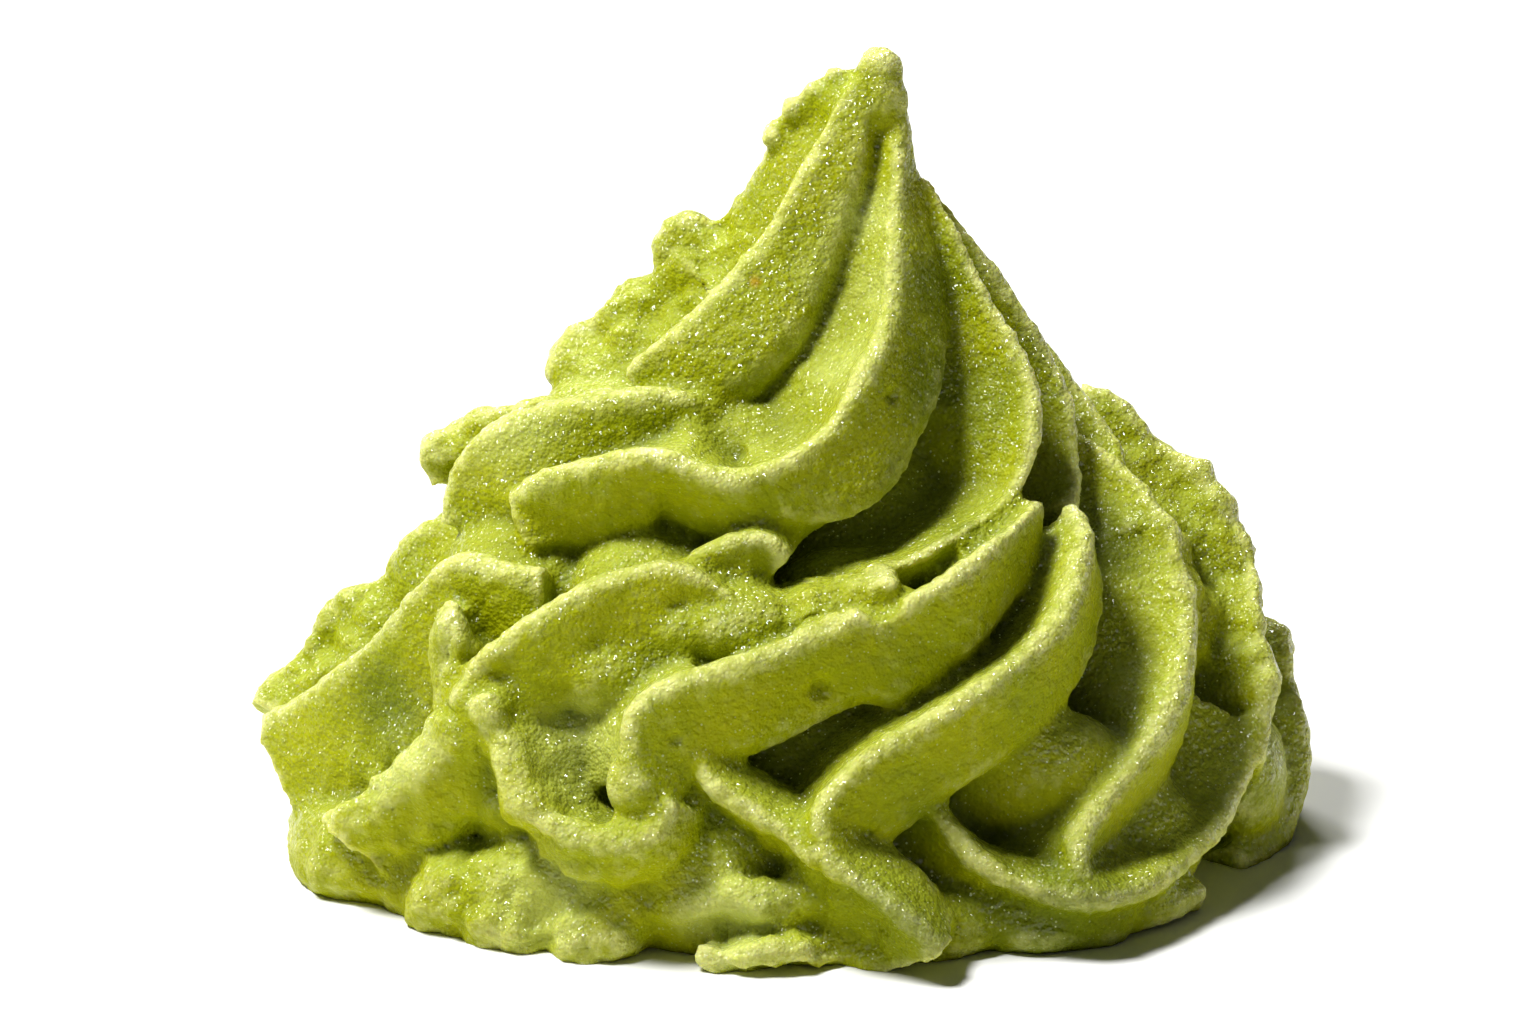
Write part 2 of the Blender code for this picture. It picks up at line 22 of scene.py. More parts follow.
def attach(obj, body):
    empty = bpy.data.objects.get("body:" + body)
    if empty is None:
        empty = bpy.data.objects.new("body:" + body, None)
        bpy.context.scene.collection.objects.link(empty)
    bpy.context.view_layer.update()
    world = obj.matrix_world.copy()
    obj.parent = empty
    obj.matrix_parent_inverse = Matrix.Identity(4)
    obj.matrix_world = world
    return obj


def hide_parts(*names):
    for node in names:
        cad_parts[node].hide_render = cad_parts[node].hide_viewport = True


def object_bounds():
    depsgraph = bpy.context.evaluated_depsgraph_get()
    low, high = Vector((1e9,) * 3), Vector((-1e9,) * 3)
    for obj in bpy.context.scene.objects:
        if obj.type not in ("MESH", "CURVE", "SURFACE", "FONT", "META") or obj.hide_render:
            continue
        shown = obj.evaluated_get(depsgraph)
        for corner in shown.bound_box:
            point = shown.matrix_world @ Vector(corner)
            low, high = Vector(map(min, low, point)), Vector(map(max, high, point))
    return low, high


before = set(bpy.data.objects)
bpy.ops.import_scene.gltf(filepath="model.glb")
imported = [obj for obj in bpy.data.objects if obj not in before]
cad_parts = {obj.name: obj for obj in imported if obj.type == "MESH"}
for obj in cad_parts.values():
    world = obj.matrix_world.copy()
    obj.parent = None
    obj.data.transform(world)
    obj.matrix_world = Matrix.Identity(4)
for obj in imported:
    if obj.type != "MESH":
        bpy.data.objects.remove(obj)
CAD_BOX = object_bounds()

LOG = logging.getLogger("wasabi")
MM = 0.001
NODE = "wasabi_paste"
BODY = "root"

Station = tuple[float, float, float, float]
Colour = tuple[float, float, float]


def mix(start: float, end: float, share: float) -> float:
    """Return the value that lies a share of the way from start to end."""
    return start + (end - start) * share


def smooth_step(low: float, high: float, value: float) -> float:
    """Return 0 below low, 1 above high, and a smooth rise between them."""
    t = min(1.0, max(0.0, (value - low) / (high - low)))
    return t * t * (3.0 - 2.0 * t)


# ---------------------------------------------------------------------------------------------
# Shapes that the paste is made of
# ---------------------------------------------------------------------------------------------


@dataclass(frozen=True)
class Core:
    """The middle of the dollop: a turned cone round an axis that leans to +X going up."""

    profile: tuple[tuple[float, float], ...] = (
        (-1.5, 13.2), (0.0, 13.6), (2.0, 13.4), (4.0, 12.4), (6.0, 11.2), (8.0, 9.8),
        (10.0, 8.2), (12.0, 6.5), (14.0, 4.9), (16.0, 3.7), (18.0, 2.7), (20.0, 1.9),
        (22.0, 1.3), (24.0, 0.8), (26.0, 0.4),
    )
    segments: int = 48
    foot_x: float = 0.4
    lean: float = 0.11

    def axis_x(self, height: float) -> float:
        """Return the x of the leaning axis at this height."""
        return self.foot_x + self.lean * max(0.0, height)

    def add_to(self, bm: bmesh.types.BMesh) -> None:
        """Turn the profile round +Z, close it and lean it.

        Args:
            bm: The empty mesh that the core is made in.
        """
        verts = [bm.verts.new((radius, 0.0, height)) for height, radius in self.profile]
        edges = [bm.edges.new(pair) for pair in zip(verts, verts[1:])]
        bmesh.ops.spin(bm, geom=verts + edges, axis=(0, 0, 1), cent=(0, 0, 0), dvec=(0, 0, 0),
                       angle=2 * math.pi, steps=self.segments, use_merge=True)
        rims = [edge for edge in bm.edges if edge.is_boundary]
        bmesh.ops.holes_fill(bm, edges=rims, sides=0)
        for vert in bm.verts:
            vert.co.x += self.axis_x(vert.co.z)


CORE = Core()


@dataclass(frozen=True)
class Fold:
    """One fold of paste, swept along its crest.

    Its section has a round crest, a hollow upper flank and a full lower flank that tucks in.
    Each station is (x, y, z, share of full size) on the crest.
    """

    crest: tuple[Station, ...]
    upper: float
    lower: float
    depth: float
    edge: float
    slope: float = 35.0

    HOLLOW = 1.7
    BELLY_TURN = 0.86 * math.pi
    FLANK_STEPS = 5
    CREST_STEPS = 6
    CREST_TURN = 130.0
    ROOT_DEPTH = 2.8
    RING_STEP = 0.5

    def path(self) -> list[Vector]:
        """Return points about RING_STEP apart on the smooth curve through the stations."""
        knots = [Vector(station) for station in self.crest]
        knots = [2 * knots[0] - knots[1], *knots, 2 * knots[-1] - knots[-2]]
        points = []
        for before, start, end, after in zip(knots, knots[1:], knots[2:], knots[3:]):
            count = max(1, round((end.xyz - start.xyz).length / self.RING_STEP))
            for turn in range(count):
                t = turn / count
                points.append(0.5 * (2 * start + (end - before) * t
                                     + (2 * before - 5 * start + 4 * end - after) * t ** 2
                                     + (3 * start - before - 3 * end + after) * t ** 3))
        points.append(knots[-2])
        return points

    def section(self, share: float) -> list[tuple[float, float]]:
        """Return points (across, outward) round the section, whose crest is at (0, 0).

        Args:
            share: The fold's size there, as a share of its full size.

        Returns:
            The points in order, from the upper root over the crest to the lower root.
        """
        edge = self.edge * mix(0.4, 1.0, share)
        upper = max(self.upper * share, edge * 1.05)
        lower = max(self.lower * share, edge * 1.05)
        depth = max(self.depth * share, edge * 1.6)
        down = [step / self.FLANK_STEPS for step in range(self.FLANK_STEPS, 0, -1)]
        points = [(mix(edge, upper, s ** self.HOLLOW), -mix(edge, depth, s)) for s in down]
        for step in range(self.CREST_STEPS + 1):
            angle = math.radians(90.0 - self.CREST_TURN * step / self.CREST_STEPS)
            points.append((edge * math.sin(angle), edge * (math.cos(angle) - 1.0)))
        points += [(-mix(edge, lower, math.sin(self.BELLY_TURN * s)), -mix(edge, depth, s))
                   for s in reversed(down)]
        points.append((0.0, -depth - self.ROOT_DEPTH * share))
        return points

    def rings(self) -> list[list[Vector]]:
        """Return the sections along the crest, as points in space."""
        path = self.path()
        slope = math.radians(self.slope)
        rings = []
        for index, point in enumerate(path):
            ahead = path[min(index + 1, len(path) - 1)].xyz
            along = (ahead - path[max(index - 1, 0)].xyz).normalized()
            spoke = Vector((point.x - CORE.axis_x(point.z), point.y, 0.0)).normalized()
            outward = spoke * math.cos(slope) + Vector((0.0, 0.0, math.sin(slope)))
            outward = (outward - along * along.dot(outward)).normalized()
            across = along.cross(outward)
            rings.append([point.xyz + across * a + outward * b
                          for a, b in self.section(point.w)])
        return rings

    def add_to(self, bm: bmesh.types.BMesh) -> None:
        """Roll a flat grid round the fold's rings, weld its seam and close its ends.

        Args:
            bm: The mesh that the fold is added to.
        """
        rings = self.rings()
        length, around = len(rings) - 1, len(rings[0])
        made = bmesh.ops.create_grid(bm, x_segments=length, y_segments=around, size=1.0)
        verts = made["verts"]
        for vert in verts:
            ring = rings[round((vert.co.x + 1.0) / 2.0 * length)]
            vert.co = ring[round((vert.co.y + 1.0) / 2.0 * around) % around]
        bmesh.ops.remove_doubles(bm, verts=verts, dist=1e-5)
        edges = {edge for vert in verts if vert.is_valid for edge in vert.link_edges}
        bmesh.ops.holes_fill(bm, edges=[e for e in edges if e.is_boundary], sides=0)


@dataclass(frozen=True)
class Tier:
    """Even folds that wind down the back between two heights, their starts in degrees."""

    starts: tuple[float, ...]
    sweep: float
    top: float
    foot: float
    upper: float
    lower: float
    depth: float
    edge: float

    RADII = (
        (24.0, 1.2), (20.0, 3.6), (16.0, 6.8), (13.0, 9.6), (10.0, 12.2), (6.0, 14.6),
        (3.0, 15.9), (0.5, 16.3),
    )
    STATIONS = 7
    WAVE = 0.5
    WAVE_SHIFT = 2.4
    WAVE_TURN = 5.0
    CURL = 1.2
    START_SHARE = 0.3
    GROWTH = 1.1
    WIDE_RADIUS = 9.0
    WIDE_SHARE = 0.5
    END_LOSS = 0.15

    def radius(self, height: float) -> float:
        """Return the radius of the crests at this height."""
        for (high, small), (low, large) in zip(self.RADII, self.RADII[1:]):
            if height >= low:
                return mix(large, small, (height - low) / (high - low))
        return self.RADII[-1][1]

    def folds(self) -> Iterator[Fold]:
        """Yield the folds: each starts small and ends a little smaller than its full size."""
        for number, start in enumerate(self.starts):
            stations = []
            for step in range(self.STATIONS):
                t = step / (self.STATIONS - 1)
                wave = self.WAVE * math.sin(self.WAVE_SHIFT * number + self.WAVE_TURN * t)
                height = mix(self.top, self.foot, t) + wave
                angle = math.radians(start - self.sweep * t ** self.CURL)
                reach = self.radius(height)
                share = (self.START_SHARE + self.GROWTH * t
                         + self.WIDE_SHARE * (reach > self.WIDE_RADIUS))
                share = min(1.0, share) - self.END_LOSS * (t == 1.0)
                stations.append((CORE.axis_x(height) + reach * math.cos(angle),
                                 reach * math.sin(angle), height, share))
            yield Fold(tuple(stations), self.upper, self.lower, self.depth, self.edge)


@dataclass(frozen=True)
class Lump:
    """A soft round lump, by its centre and its radii along x, y and z."""

    centre: tuple[float, float, float]
    radii: tuple[float, float, float]

    def add_to(self, bm: bmesh.types.BMesh) -> None:
        """Add the lump as a stretched ball."""
        place = Matrix.LocRotScale(Vector(self.centre), None, Vector(self.radii))
        bmesh.ops.create_icosphere(bm, subdivisions=3, radius=1.0, matrix=place)


UPPER_FOLDS = (
    # The fold from the tip down to the left, and the torn rim behind it.
    Fold(((3.4, -0.1, 26.9, 0.22), (1.9, -0.9, 25.7, 0.35), (0.7, -1.8, 23.5, 0.6),
          (-0.5, -2.6, 21.6, 0.8), (-2.0, -3.3, 19.9, 1), (-3.5, -3.8, 18.5, 1),
          (-4.6, -3.8, 17.7, 0.95), (-5.4, -3.4, 16.7, 0.8)), 2.4, 2.1, 3.6, 0.5),
    Fold(((3.0, 0.1, 26.4, 0.35), (1.6, 0.3, 25.9, 0.5), (0.5, 0.5, 24.6, 0.6),
          (-0.4, 0.7, 23.5, 0.7), (-1.2, 0.9, 22.0, 0.85), (-2.0, 1.1, 21.0, 0.9),
          (-3.2, 1.4, 20.7, 1), (-4.2, 1.5, 19.9, 1), (-4.6, 1.4, 18.6, 1),
          (-5.4, 1.2, 17.8, 1), (-6.4, 1.0, 17.4, 1), (-7.8, 0.5, 16.2, 1),
          (-8.1, 0.2, 15.2, 0.9)), 2.6, 2.4, 3.8, 0.7),
    # The broad fold: steep below the tip, then to the left, with a drooping end.
    Fold(((3.9, -0.6, 25.0, 0.22), (3.8, -2.0, 23.1, 0.45), (3.7, -3.4, 21.5, 0.7),
          (3.6, -4.8, 19.8, 0.9), (3.2, -6.1, 18.6, 1), (2.4, -7.2, 17.6, 1),
          (1.5, -8.1, 16.5, 0.95), (0.5, -8.8, 15.8, 0.8), (-0.7, -9.2, 15.3, 0.55)),
         3.4, 2.5, 3.6, 0.45),
    Fold(((2.6, -7.0, 17.7, 0.7), (1.5, -8.1, 16.5, 0.9), (0.5, -8.8, 15.8, 1),
          (-0.7, -9.2, 15.3, 1), (-1.9, -9.3, 15.1, 1), (-3.1, -9.2, 15.4, 1),
          (-4.3, -9.0, 15.8, 1), (-6.4, -8.5, 15.4, 1), (-8.0, -7.8, 14.6, 1),
          (-9.2, -7.0, 13.6, 0.9)), 3.0, 1.6, 3.8, 0.5),
    Fold(((-9.1, -7.0, 13.8, 0.5), (-8.9, -7.5, 13.0, 0.5), (-8.6, -7.9, 12.0, 0.5)),
         2.6, 2.6, 3.0, 0.45),
    # The thin blade that turns in under the broad fold, and the fold to its right.
    Fold(((4.3, -0.6, 23.1, 0.3), (5.3, -1.2, 21.9, 0.5), (6.1, -2.0, 20.4, 0.7),
          (7.0, -2.8, 18.9, 0.9), (7.9, -3.6, 17.6, 1), (8.4, -4.6, 16.4, 1),
          (8.3, -5.6, 15.1, 1), (7.8, -6.6, 13.9, 1), (6.7, -7.7, 13.2, 1),
          (5.3, -8.9, 12.7, 1), (4.0, -9.7, 12.3, 0.9), (2.7, -10.2, 12.1, 0.8),
          (0.5, -10.8, 11.2, 0.7), (-0.7, -11.3, 11.3, 0.7), (-1.7, -11.9, 11.0, 0.6)),
         3.2, 0.6, 4.4, 0.3),
    Fold(((4.7, 0.3, 22.5, 0.3), (5.8, 0.0, 21.1, 0.5), (6.8, -0.3, 19.6, 0.7),
          (8.0, -0.6, 18.0, 0.9), (9.0, -1.0, 16.7, 1), (9.6, -1.6, 15.3, 1),
          (9.8, -2.6, 14.0, 1), (9.9, -3.8, 13.1, 1), (9.6, -5.0, 12.5, 0.8)),
         2.4, 1.4, 4.0, 0.4),
)

LOWER_FOLDS = (
    # The front fold: a thin wall, its middle, its end turned down and the roll there.
    Fold(((8.6, -6.6, 13.5, 0.6), (8.0, -8.2, 13.4, 0.8), (7.0, -10.0, 13.1, 0.9),
          (5.7, -11.5, 12.6, 1), (4.6, -12.0, 12.1, 1), (3.2, -12.3, 11.2, 1),
          (2.2, -12.4, 11.4, 1), (1.2, -12.6, 11.0, 0.9)), 0.5, 2.3, 3.8, 0.32),
    Fold(((3.6, -12.1, 11.0, 0.7), (2.2, -12.4, 11.4, 0.9), (1.2, -12.6, 11.0, 1),
          (-1.5, -13.2, 10.0, 1), (-4.0, -13.5, 9.3, 1), (-5.0, -13.7, 8.6, 0.8)),
         2.0, 2.2, 3.8, 0.42),
    Fold(((-3.0, -13.4, 9.6, 0.8), (-4.2, -13.5, 9.3, 0.9), (-5.0, -13.7, 8.6, 1),
          (-5.2, -13.9, 7.7, 1), (-5.1, -14.1, 6.8, 1), (-5.1, -14.3, 5.8, 0.9)),
         3.2, 1.6, 2.4, 0.42),
    Fold(((-3.9, -14.2, 5.9, 0.8), (-4.5, -14.7, 4.9, 0.9), (-6.2, -14.8, 4.6, 1),
          (-7.8, -14.3, 5.0, 1), (-8.9, -13.6, 5.8, 1), (-9.5, -12.9, 7.0, 1),
          (-10.2, -12.0, 8.4, 1)), 2.5, 1.0, 3.0, 0.75),
    # The fold whose tail runs down to the foot.
    Fold(((9.7, -5.6, 12.9, 0.7), (10.1, -7.2, 12.4, 0.85), (9.8, -8.8, 11.5, 1),
          (9.2, -10.2, 10.6, 1), (8.2, -11.4, 9.9, 1), (6.8, -12.6, 9.2, 1),
          (5.3, -13.5, 8.5, 1), (2.8, -14.3, 7.3, 1), (1.8, -14.6, 6.4, 1),
          (1.2, -15.0, 5.5, 0.9), (1.4, -15.4, 4.5, 0.9), (2.3, -15.8, 3.7, 0.9),
          (3.5, -16.2, 3.0, 0.9), (4.5, -16.4, 2.1, 0.9), (5.2, -16.4, 1.2, 0.8)),
         2.2, 2.3, 3.8, 0.5),
    # The two long folds on the right, and the rims of their feet.
    Fold(((9.8, -1.0, 13.8, 0.8), (11.0, -1.6, 13.3, 0.9), (12.2, -2.6, 12.4, 1),
          (13.1, -3.8, 11.3, 1), (13.5, -5.2, 10.1, 1), (13.6, -6.8, 8.7, 1),
          (13.2, -8.4, 7.4, 1), (12.3, -9.9, 6.2, 1), (11.2, -11.2, 5.3, 0.9),
          (10.3, -12.2, 4.5, 0.8), (9.8, -13.0, 3.7, 0.7), (9.8, -13.6, 2.9, 0.6),
          (10.5, -14.0, 2.2, 0.5)), 2.6, 2.0, 3.8, 0.5),
    Fold(((10.0, 3.5, 14.0, 0.8), (11.2, 3.2, 13.7, 0.9), (12.3, 2.6, 12.6, 1),
          (13.8, 1.8, 11.6, 1), (15.2, 0.8, 10.3, 1), (15.9, -0.5, 8.9, 1),
          (16.2, -2.4, 7.1, 1), (16.2, -4.2, 5.4, 0.9), (15.9, -6.0, 4.0, 0.7)),
         2.4, 2.0, 3.4, 0.5),
    Fold(((16.0, -4.8, 4.8, 0.7), (15.6, -6.6, 3.6, 0.9), (14.7, -8.6, 2.7, 1),
          (13.4, -10.8, 2.1, 1), (12.0, -12.7, 1.9, 0.9), (10.9, -13.9, 2.0, 0.7)),
         3.0, 0.9, 3.2, 0.5, 4.0),
    Fold(((4.8, -13.2, 5.2, 0.5), (6.4, -13.9, 3.4, 0.8), (7.9, -14.2, 2.6, 0.9),
          (9.4, -14.3, 2.2, 0.9), (10.8, -14.0, 2.0, 0.8)), 3.2, 0.9, 3.2, 0.5, 0.0),
    # The lobe at the far right.
    Fold(((16.1, 3.0, 6.3, 1), (17.1, 1.5, 5.4, 1), (17.6, 0.0, 3.7, 1),
          (17.7, -1.5, 2.1, 1), (16.7, -4.0, 0.6, 1), (15.2, -6.0, 0.4, 1)),
         2.0, 2.0, 3.2, 0.7),
    # The wedge torn out of the front fold's rim.
    Fold(((2.2, -11.4, 11.2, 0.5), (2.8, -11.4, 12.1, 0.6), (3.5, -11.5, 12.3, 0.5)),
         0.4, 1.4, 2.2, 0.28),
    # The flap beside the tail.
    Fold(((-3.0, -13.5, 6.9, 0.8), (-2.4, -14.0, 6.1, 0.9), (-0.9, -14.5, 5.2, 1),
          (0.4, -15.0, 4.5, 1), (1.6, -15.5, 3.9, 0.8)), 2.4, 0.9, 3.0, 0.45, 10.0),
)

LEFT_FOLDS = (
    # The two folds over the broad fold's end.
    Fold(((-1.9, -5.0, 15.3, 0.5), (-3.2, -5.7, 16.4, 0.8), (-4.8, -5.8, 16.8, 1),
          (-6.8, -5.6, 16.5, 1), (-8.5, -5.4, 16.0, 1), (-10.0, -5.2, 15.3, 1),
          (-10.9, -5.0, 14.2, 1), (-11.3, -5.0, 13.0, 1), (-11.4, -5.2, 12.0, 0.9)),
         2.0, 2.6, 4.0, 0.6),
    Fold(((-7.5, -2.5, 15.4, 0.8), (-9.0, -2.2, 15.3, 1), (-10.5, -1.9, 14.6, 1),
          (-11.7, -1.8, 14.0, 1), (-12.1, -1.8, 13.2, 0.9), (-11.8, -2.2, 12.2, 0.8)),
         1.8, 2.4, 4.0, 0.5),
    # The low fold of the left outline, and the one in front of it.
    Fold(((-11.3, -3.0, 11.4, 0.9), (-12.8, -2.5, 10.7, 1), (-13.8, -2.0, 9.2, 1),
          (-15.0, -1.6, 8.0, 1), (-16.0, -1.4, 6.7, 1), (-17.6, -1.4, 5.2, 1),
          (-18.1, -1.8, 4.4, 0.9)), 2.6, 3.0, 4.2, 0.7),
    Fold(((-8.0, -9.5, 11.8, 0.9), (-9.5, -9.0, 11.8, 1), (-10.9, -8.2, 11.8, 1),
          (-12.2, -7.6, 10.6, 1), (-13.0, -7.2, 9.4, 1), (-14.1, -6.6, 7.9, 1),
          (-15.3, -5.8, 6.7, 1), (-16.5, -4.8, 5.5, 1), (-17.6, -4.0, 4.5, 0.9)),
         2.4, 3.0, 4.2, 0.5),
    # The short broken fold over the pocket, its narrow end, and the ridge behind it.
    Fold(((-1.2, -11.4, 11.3, 0.9), (-2.2, -11.3, 11.9, 0.9), (-3.2, -11.2, 12.5, 1),
          (-4.2, -11.1, 12.7, 1), (-5.8, -11.0, 12.2, 1), (-6.8, -10.9, 11.8, 0.9)),
         1.8, 2.8, 3.6, 0.42),
    Fold(((-4.2, -11.1, 12.7, 0.9), (-5.8, -11.1, 12.2, 1), (-7.3, -11.2, 11.6, 1),
          (-8.5, -11.2, 10.8, 1), (-9.5, -11.2, 9.9, 1), (-10.4, -11.2, 9.0, 1),
          (-10.9, -11.4, 8.2, 0.9)), 1.8, 1.9, 3.4, 0.42),
    Fold(((0.2, -10.0, 12.5, 0.7), (-0.8, -9.9, 13.3, 0.9), (-2.2, -10.0, 13.0, 0.9),
          (-3.3, -10.2, 12.6, 0.8)), 1.6, 2.4, 2.8, 0.42),
    # The tongue.
    Fold(((-10.4, -11.5, 7.9, 0.8), (-11.8, -11.3, 6.5, 1), (-13.3, -10.6, 4.9, 1),
          (-14.8, -9.8, 3.5, 1), (-15.3, -9.6, 2.9, 0.95)), 1.8, 1.6, 3.2, 1.1),
)

SKIRT_FOLDS = (
    # The lobes under the roll.
    Fold(((2.4, -13.8, 1.9, 0.8), (0.2, -14.6, 2.4, 1), (-2.6, -14.4, 2.2, 1),
          (-4.4, -13.8, 1.8, 1), (-5.6, -13.0, 1.2, 0.8)), 1.0, 2.0, 3.2, 0.7, 20.0),
    Fold(((2.0, -14.8, 0.5, 0.9), (0.2, -15.6, 0.7, 1), (-1.6, -15.7, 0.6, 1),
          (-3.0, -15.0, 0.5, 0.9)), 1.2, 0.8, 2.8, 0.6, 10.0),
    # The lobes under the feet of the long folds.
    Fold(((6.3, -13.2, 0.6, 0.8), (7.8, -13.9, 0.7, 1), (9.4, -13.7, 0.7, 1),
          (10.8, -12.6, 0.6, 0.9)), 0.9, 0.9, 2.6, 0.7, 5.0),
    Fold(((11.6, -12.0, 0.6, 0.9), (13.0, -11.2, 0.7, 0.9), (14.1, -9.6, 0.6, 0.8)),
         0.9, 0.9, 2.6, 0.7, 5.0),
)

BACK_TIERS = (
    Tier((163.0, 128.0, 92.0, 58.0), 78.0, 23.0, 11.5, 2.4, 2.2, 3.4, 0.5),
    Tier((219.0, 196.0, 170.0, 145.0, 120.0, 95.0, 70.0, 45.0), 52.0, 13.5, 0.8,
         2.4, 2.2, 3.6, 0.5),
)

LUMPS = (
    # The blunt tip, and the beads down its left edge.
    Lump((3.15, -0.2, 26.3), (0.8, 0.65, 0.8)),
    Lump((3.1, -0.3, 25.2), (0.95, 0.8, 1.2)),
    Lump((2.0, 0.0, 25.0), (1.1, 0.8, 0.9)),
    Lump((0.9, 0.3, 23.4), (0.8, 0.8, 1.0)),
    Lump((1.65, 0.1, 25.95), (0.4, 0.4, 0.35)),
    Lump((1.0, 0.2, 25.4), (0.45, 0.45, 0.4)),
    Lump((0.35, 0.3, 24.7), (0.5, 0.5, 0.45)),
    Lump((-0.25, 0.4, 23.8), (0.5, 0.5, 0.5)),
    Lump((1.1, -9.7, 10.5), (2.2, 1.7, 1.2)),
    Lump((-1.6, -10.4, 10.5), (2.2, 1.6, 1.4)),
    Lump((-3.2, -10.3, 10.3), (2.2, 1.4, 1.3)),
    Lump((-5.7, -10.8, 8.8), (2.0, 1.2, 1.4)),
    Lump((-1.3, -4.4, 14.5), (2.4, 1.9, 1.5)),
    Lump((3.4, -10.9, 11.1), (1.5, 0.9, 0.9)),
    # The paste behind the folds.
    Lump((-8.4, -5.6, 9.6), (3.2, 3.2, 3.2)),
    Lump((-5.4, -1.4, 13.0), (3.6, 3.4, 3.0)),
    Lump((-9.0, -2.0, 8.0), (4.2, 3.6, 4.0)),
    Lump((7.6, 0.4, 11.8), (3.0, 3.4, 3.0)),
    Lump((-4.4, -7.8, 10.2), (3.0, 2.6, 2.6)),
    Lump((-7.0, -8.4, 5.2), (3.0, 2.6, 2.8)),
    Lump((-11.2, -5.6, 4.0), (3.3, 3.8, 3.7)),
    Lump((-13.8, -5.4, 1.0), (2.9, 4.2, 2.4)),
    Lump((-12.0, -8.2, 0.8), (2.2, 2.4, 2.0)),
    Lump((-10.4, -10.4, 1.0), (2.4, 2.2, 1.8)),
    Lump((-8.0, -11.4, 1.6), (2.6, 2.1, 2.0)),
    Lump((-8.9, -12.3, 0.6), (1.8, 1.5, 1.1)),
    Lump((-6.3, -12.9, 0.8), (2.0, 1.7, 1.4)),
    Lump((7.6, -9.6, 5.0), (3.8, 2.0, 2.4)),
    Lump((-5.8, -12.2, 1.4), (2.4, 2.0, 1.8)),
    Lump((-3.2, -12.0, 5.4), (1.3, 1.2, 1.3)),
    Lump((-8.0, -10.3, 4.6), (2.6, 1.8, 2.4)),
    Lump((-4.9, -13.5, 5.9), (1.0, 0.9, 1.2)),
    Lump((-3.0, -11.4, 2.4), (3.6, 2.6, 2.6)),
    Lump((-11.0, -9.4, 8.8), (0.8, 1.2, 2.1)),
    Lump((3.6, -12.4, 0.8), (4.0, 2.2, 1.6)),
    Lump((8.2, -11.2, 1.0), (3.6, 2.6, 2.2)),
    Lump((11.0, -7.8, 2.0), (3.0, 3.0, 2.6)),
    Lump((15.3, -2.6, 2.0), (1.6, 3.0, 2.2)),
    Lump((2.2, -7.4, 9.8), (3.0, 2.2, 2.2)),
    Lump((12.2, -1.5, 7.0), (2.4, 3.0, 3.6)),
)


# ---------------------------------------------------------------------------------------------
# The skin: merging, roughening and thinning
# ---------------------------------------------------------------------------------------------


class Attribute(Enum):
    """Values that the skin's points carry for the finish."""

    RELIEF = "relief"
    RISE = "rise"


@dataclass(frozen=True)
class TornPatch:
    """A part of the paste that broke up as it was piped, so that it is lumpy all over."""

    centre: tuple[float, float, float]
    radius: float

    FADE = (0.6, 1.1)

    def share(self, place: Vector) -> float:
        """Return how torn the paste is at this place, from 0 to 1."""
        return 1.0 - smooth_step(*self.FADE, (place - Vector(self.centre)).length / self.radius)


@dataclass(frozen=True)
class Pit:
    """A small burst bubble in the front of the paste, by its middle, radius and depth."""

    centre: tuple[float, float, float]
    radius: float
    depth: float
    reach: float = 1.6

    WALL = (0.3, 1.0)

    def sink(self, place: Vector) -> float:
        """Return how far the bubble sinks the surface at this place, in millimetres."""
        away = place - Vector(self.centre)
        if abs(away.y) > self.reach:
            return 0.0
        across = math.hypot(away.x, away.z) / self.radius
        return self.depth * (1.0 - smooth_step(*self.WALL, across))


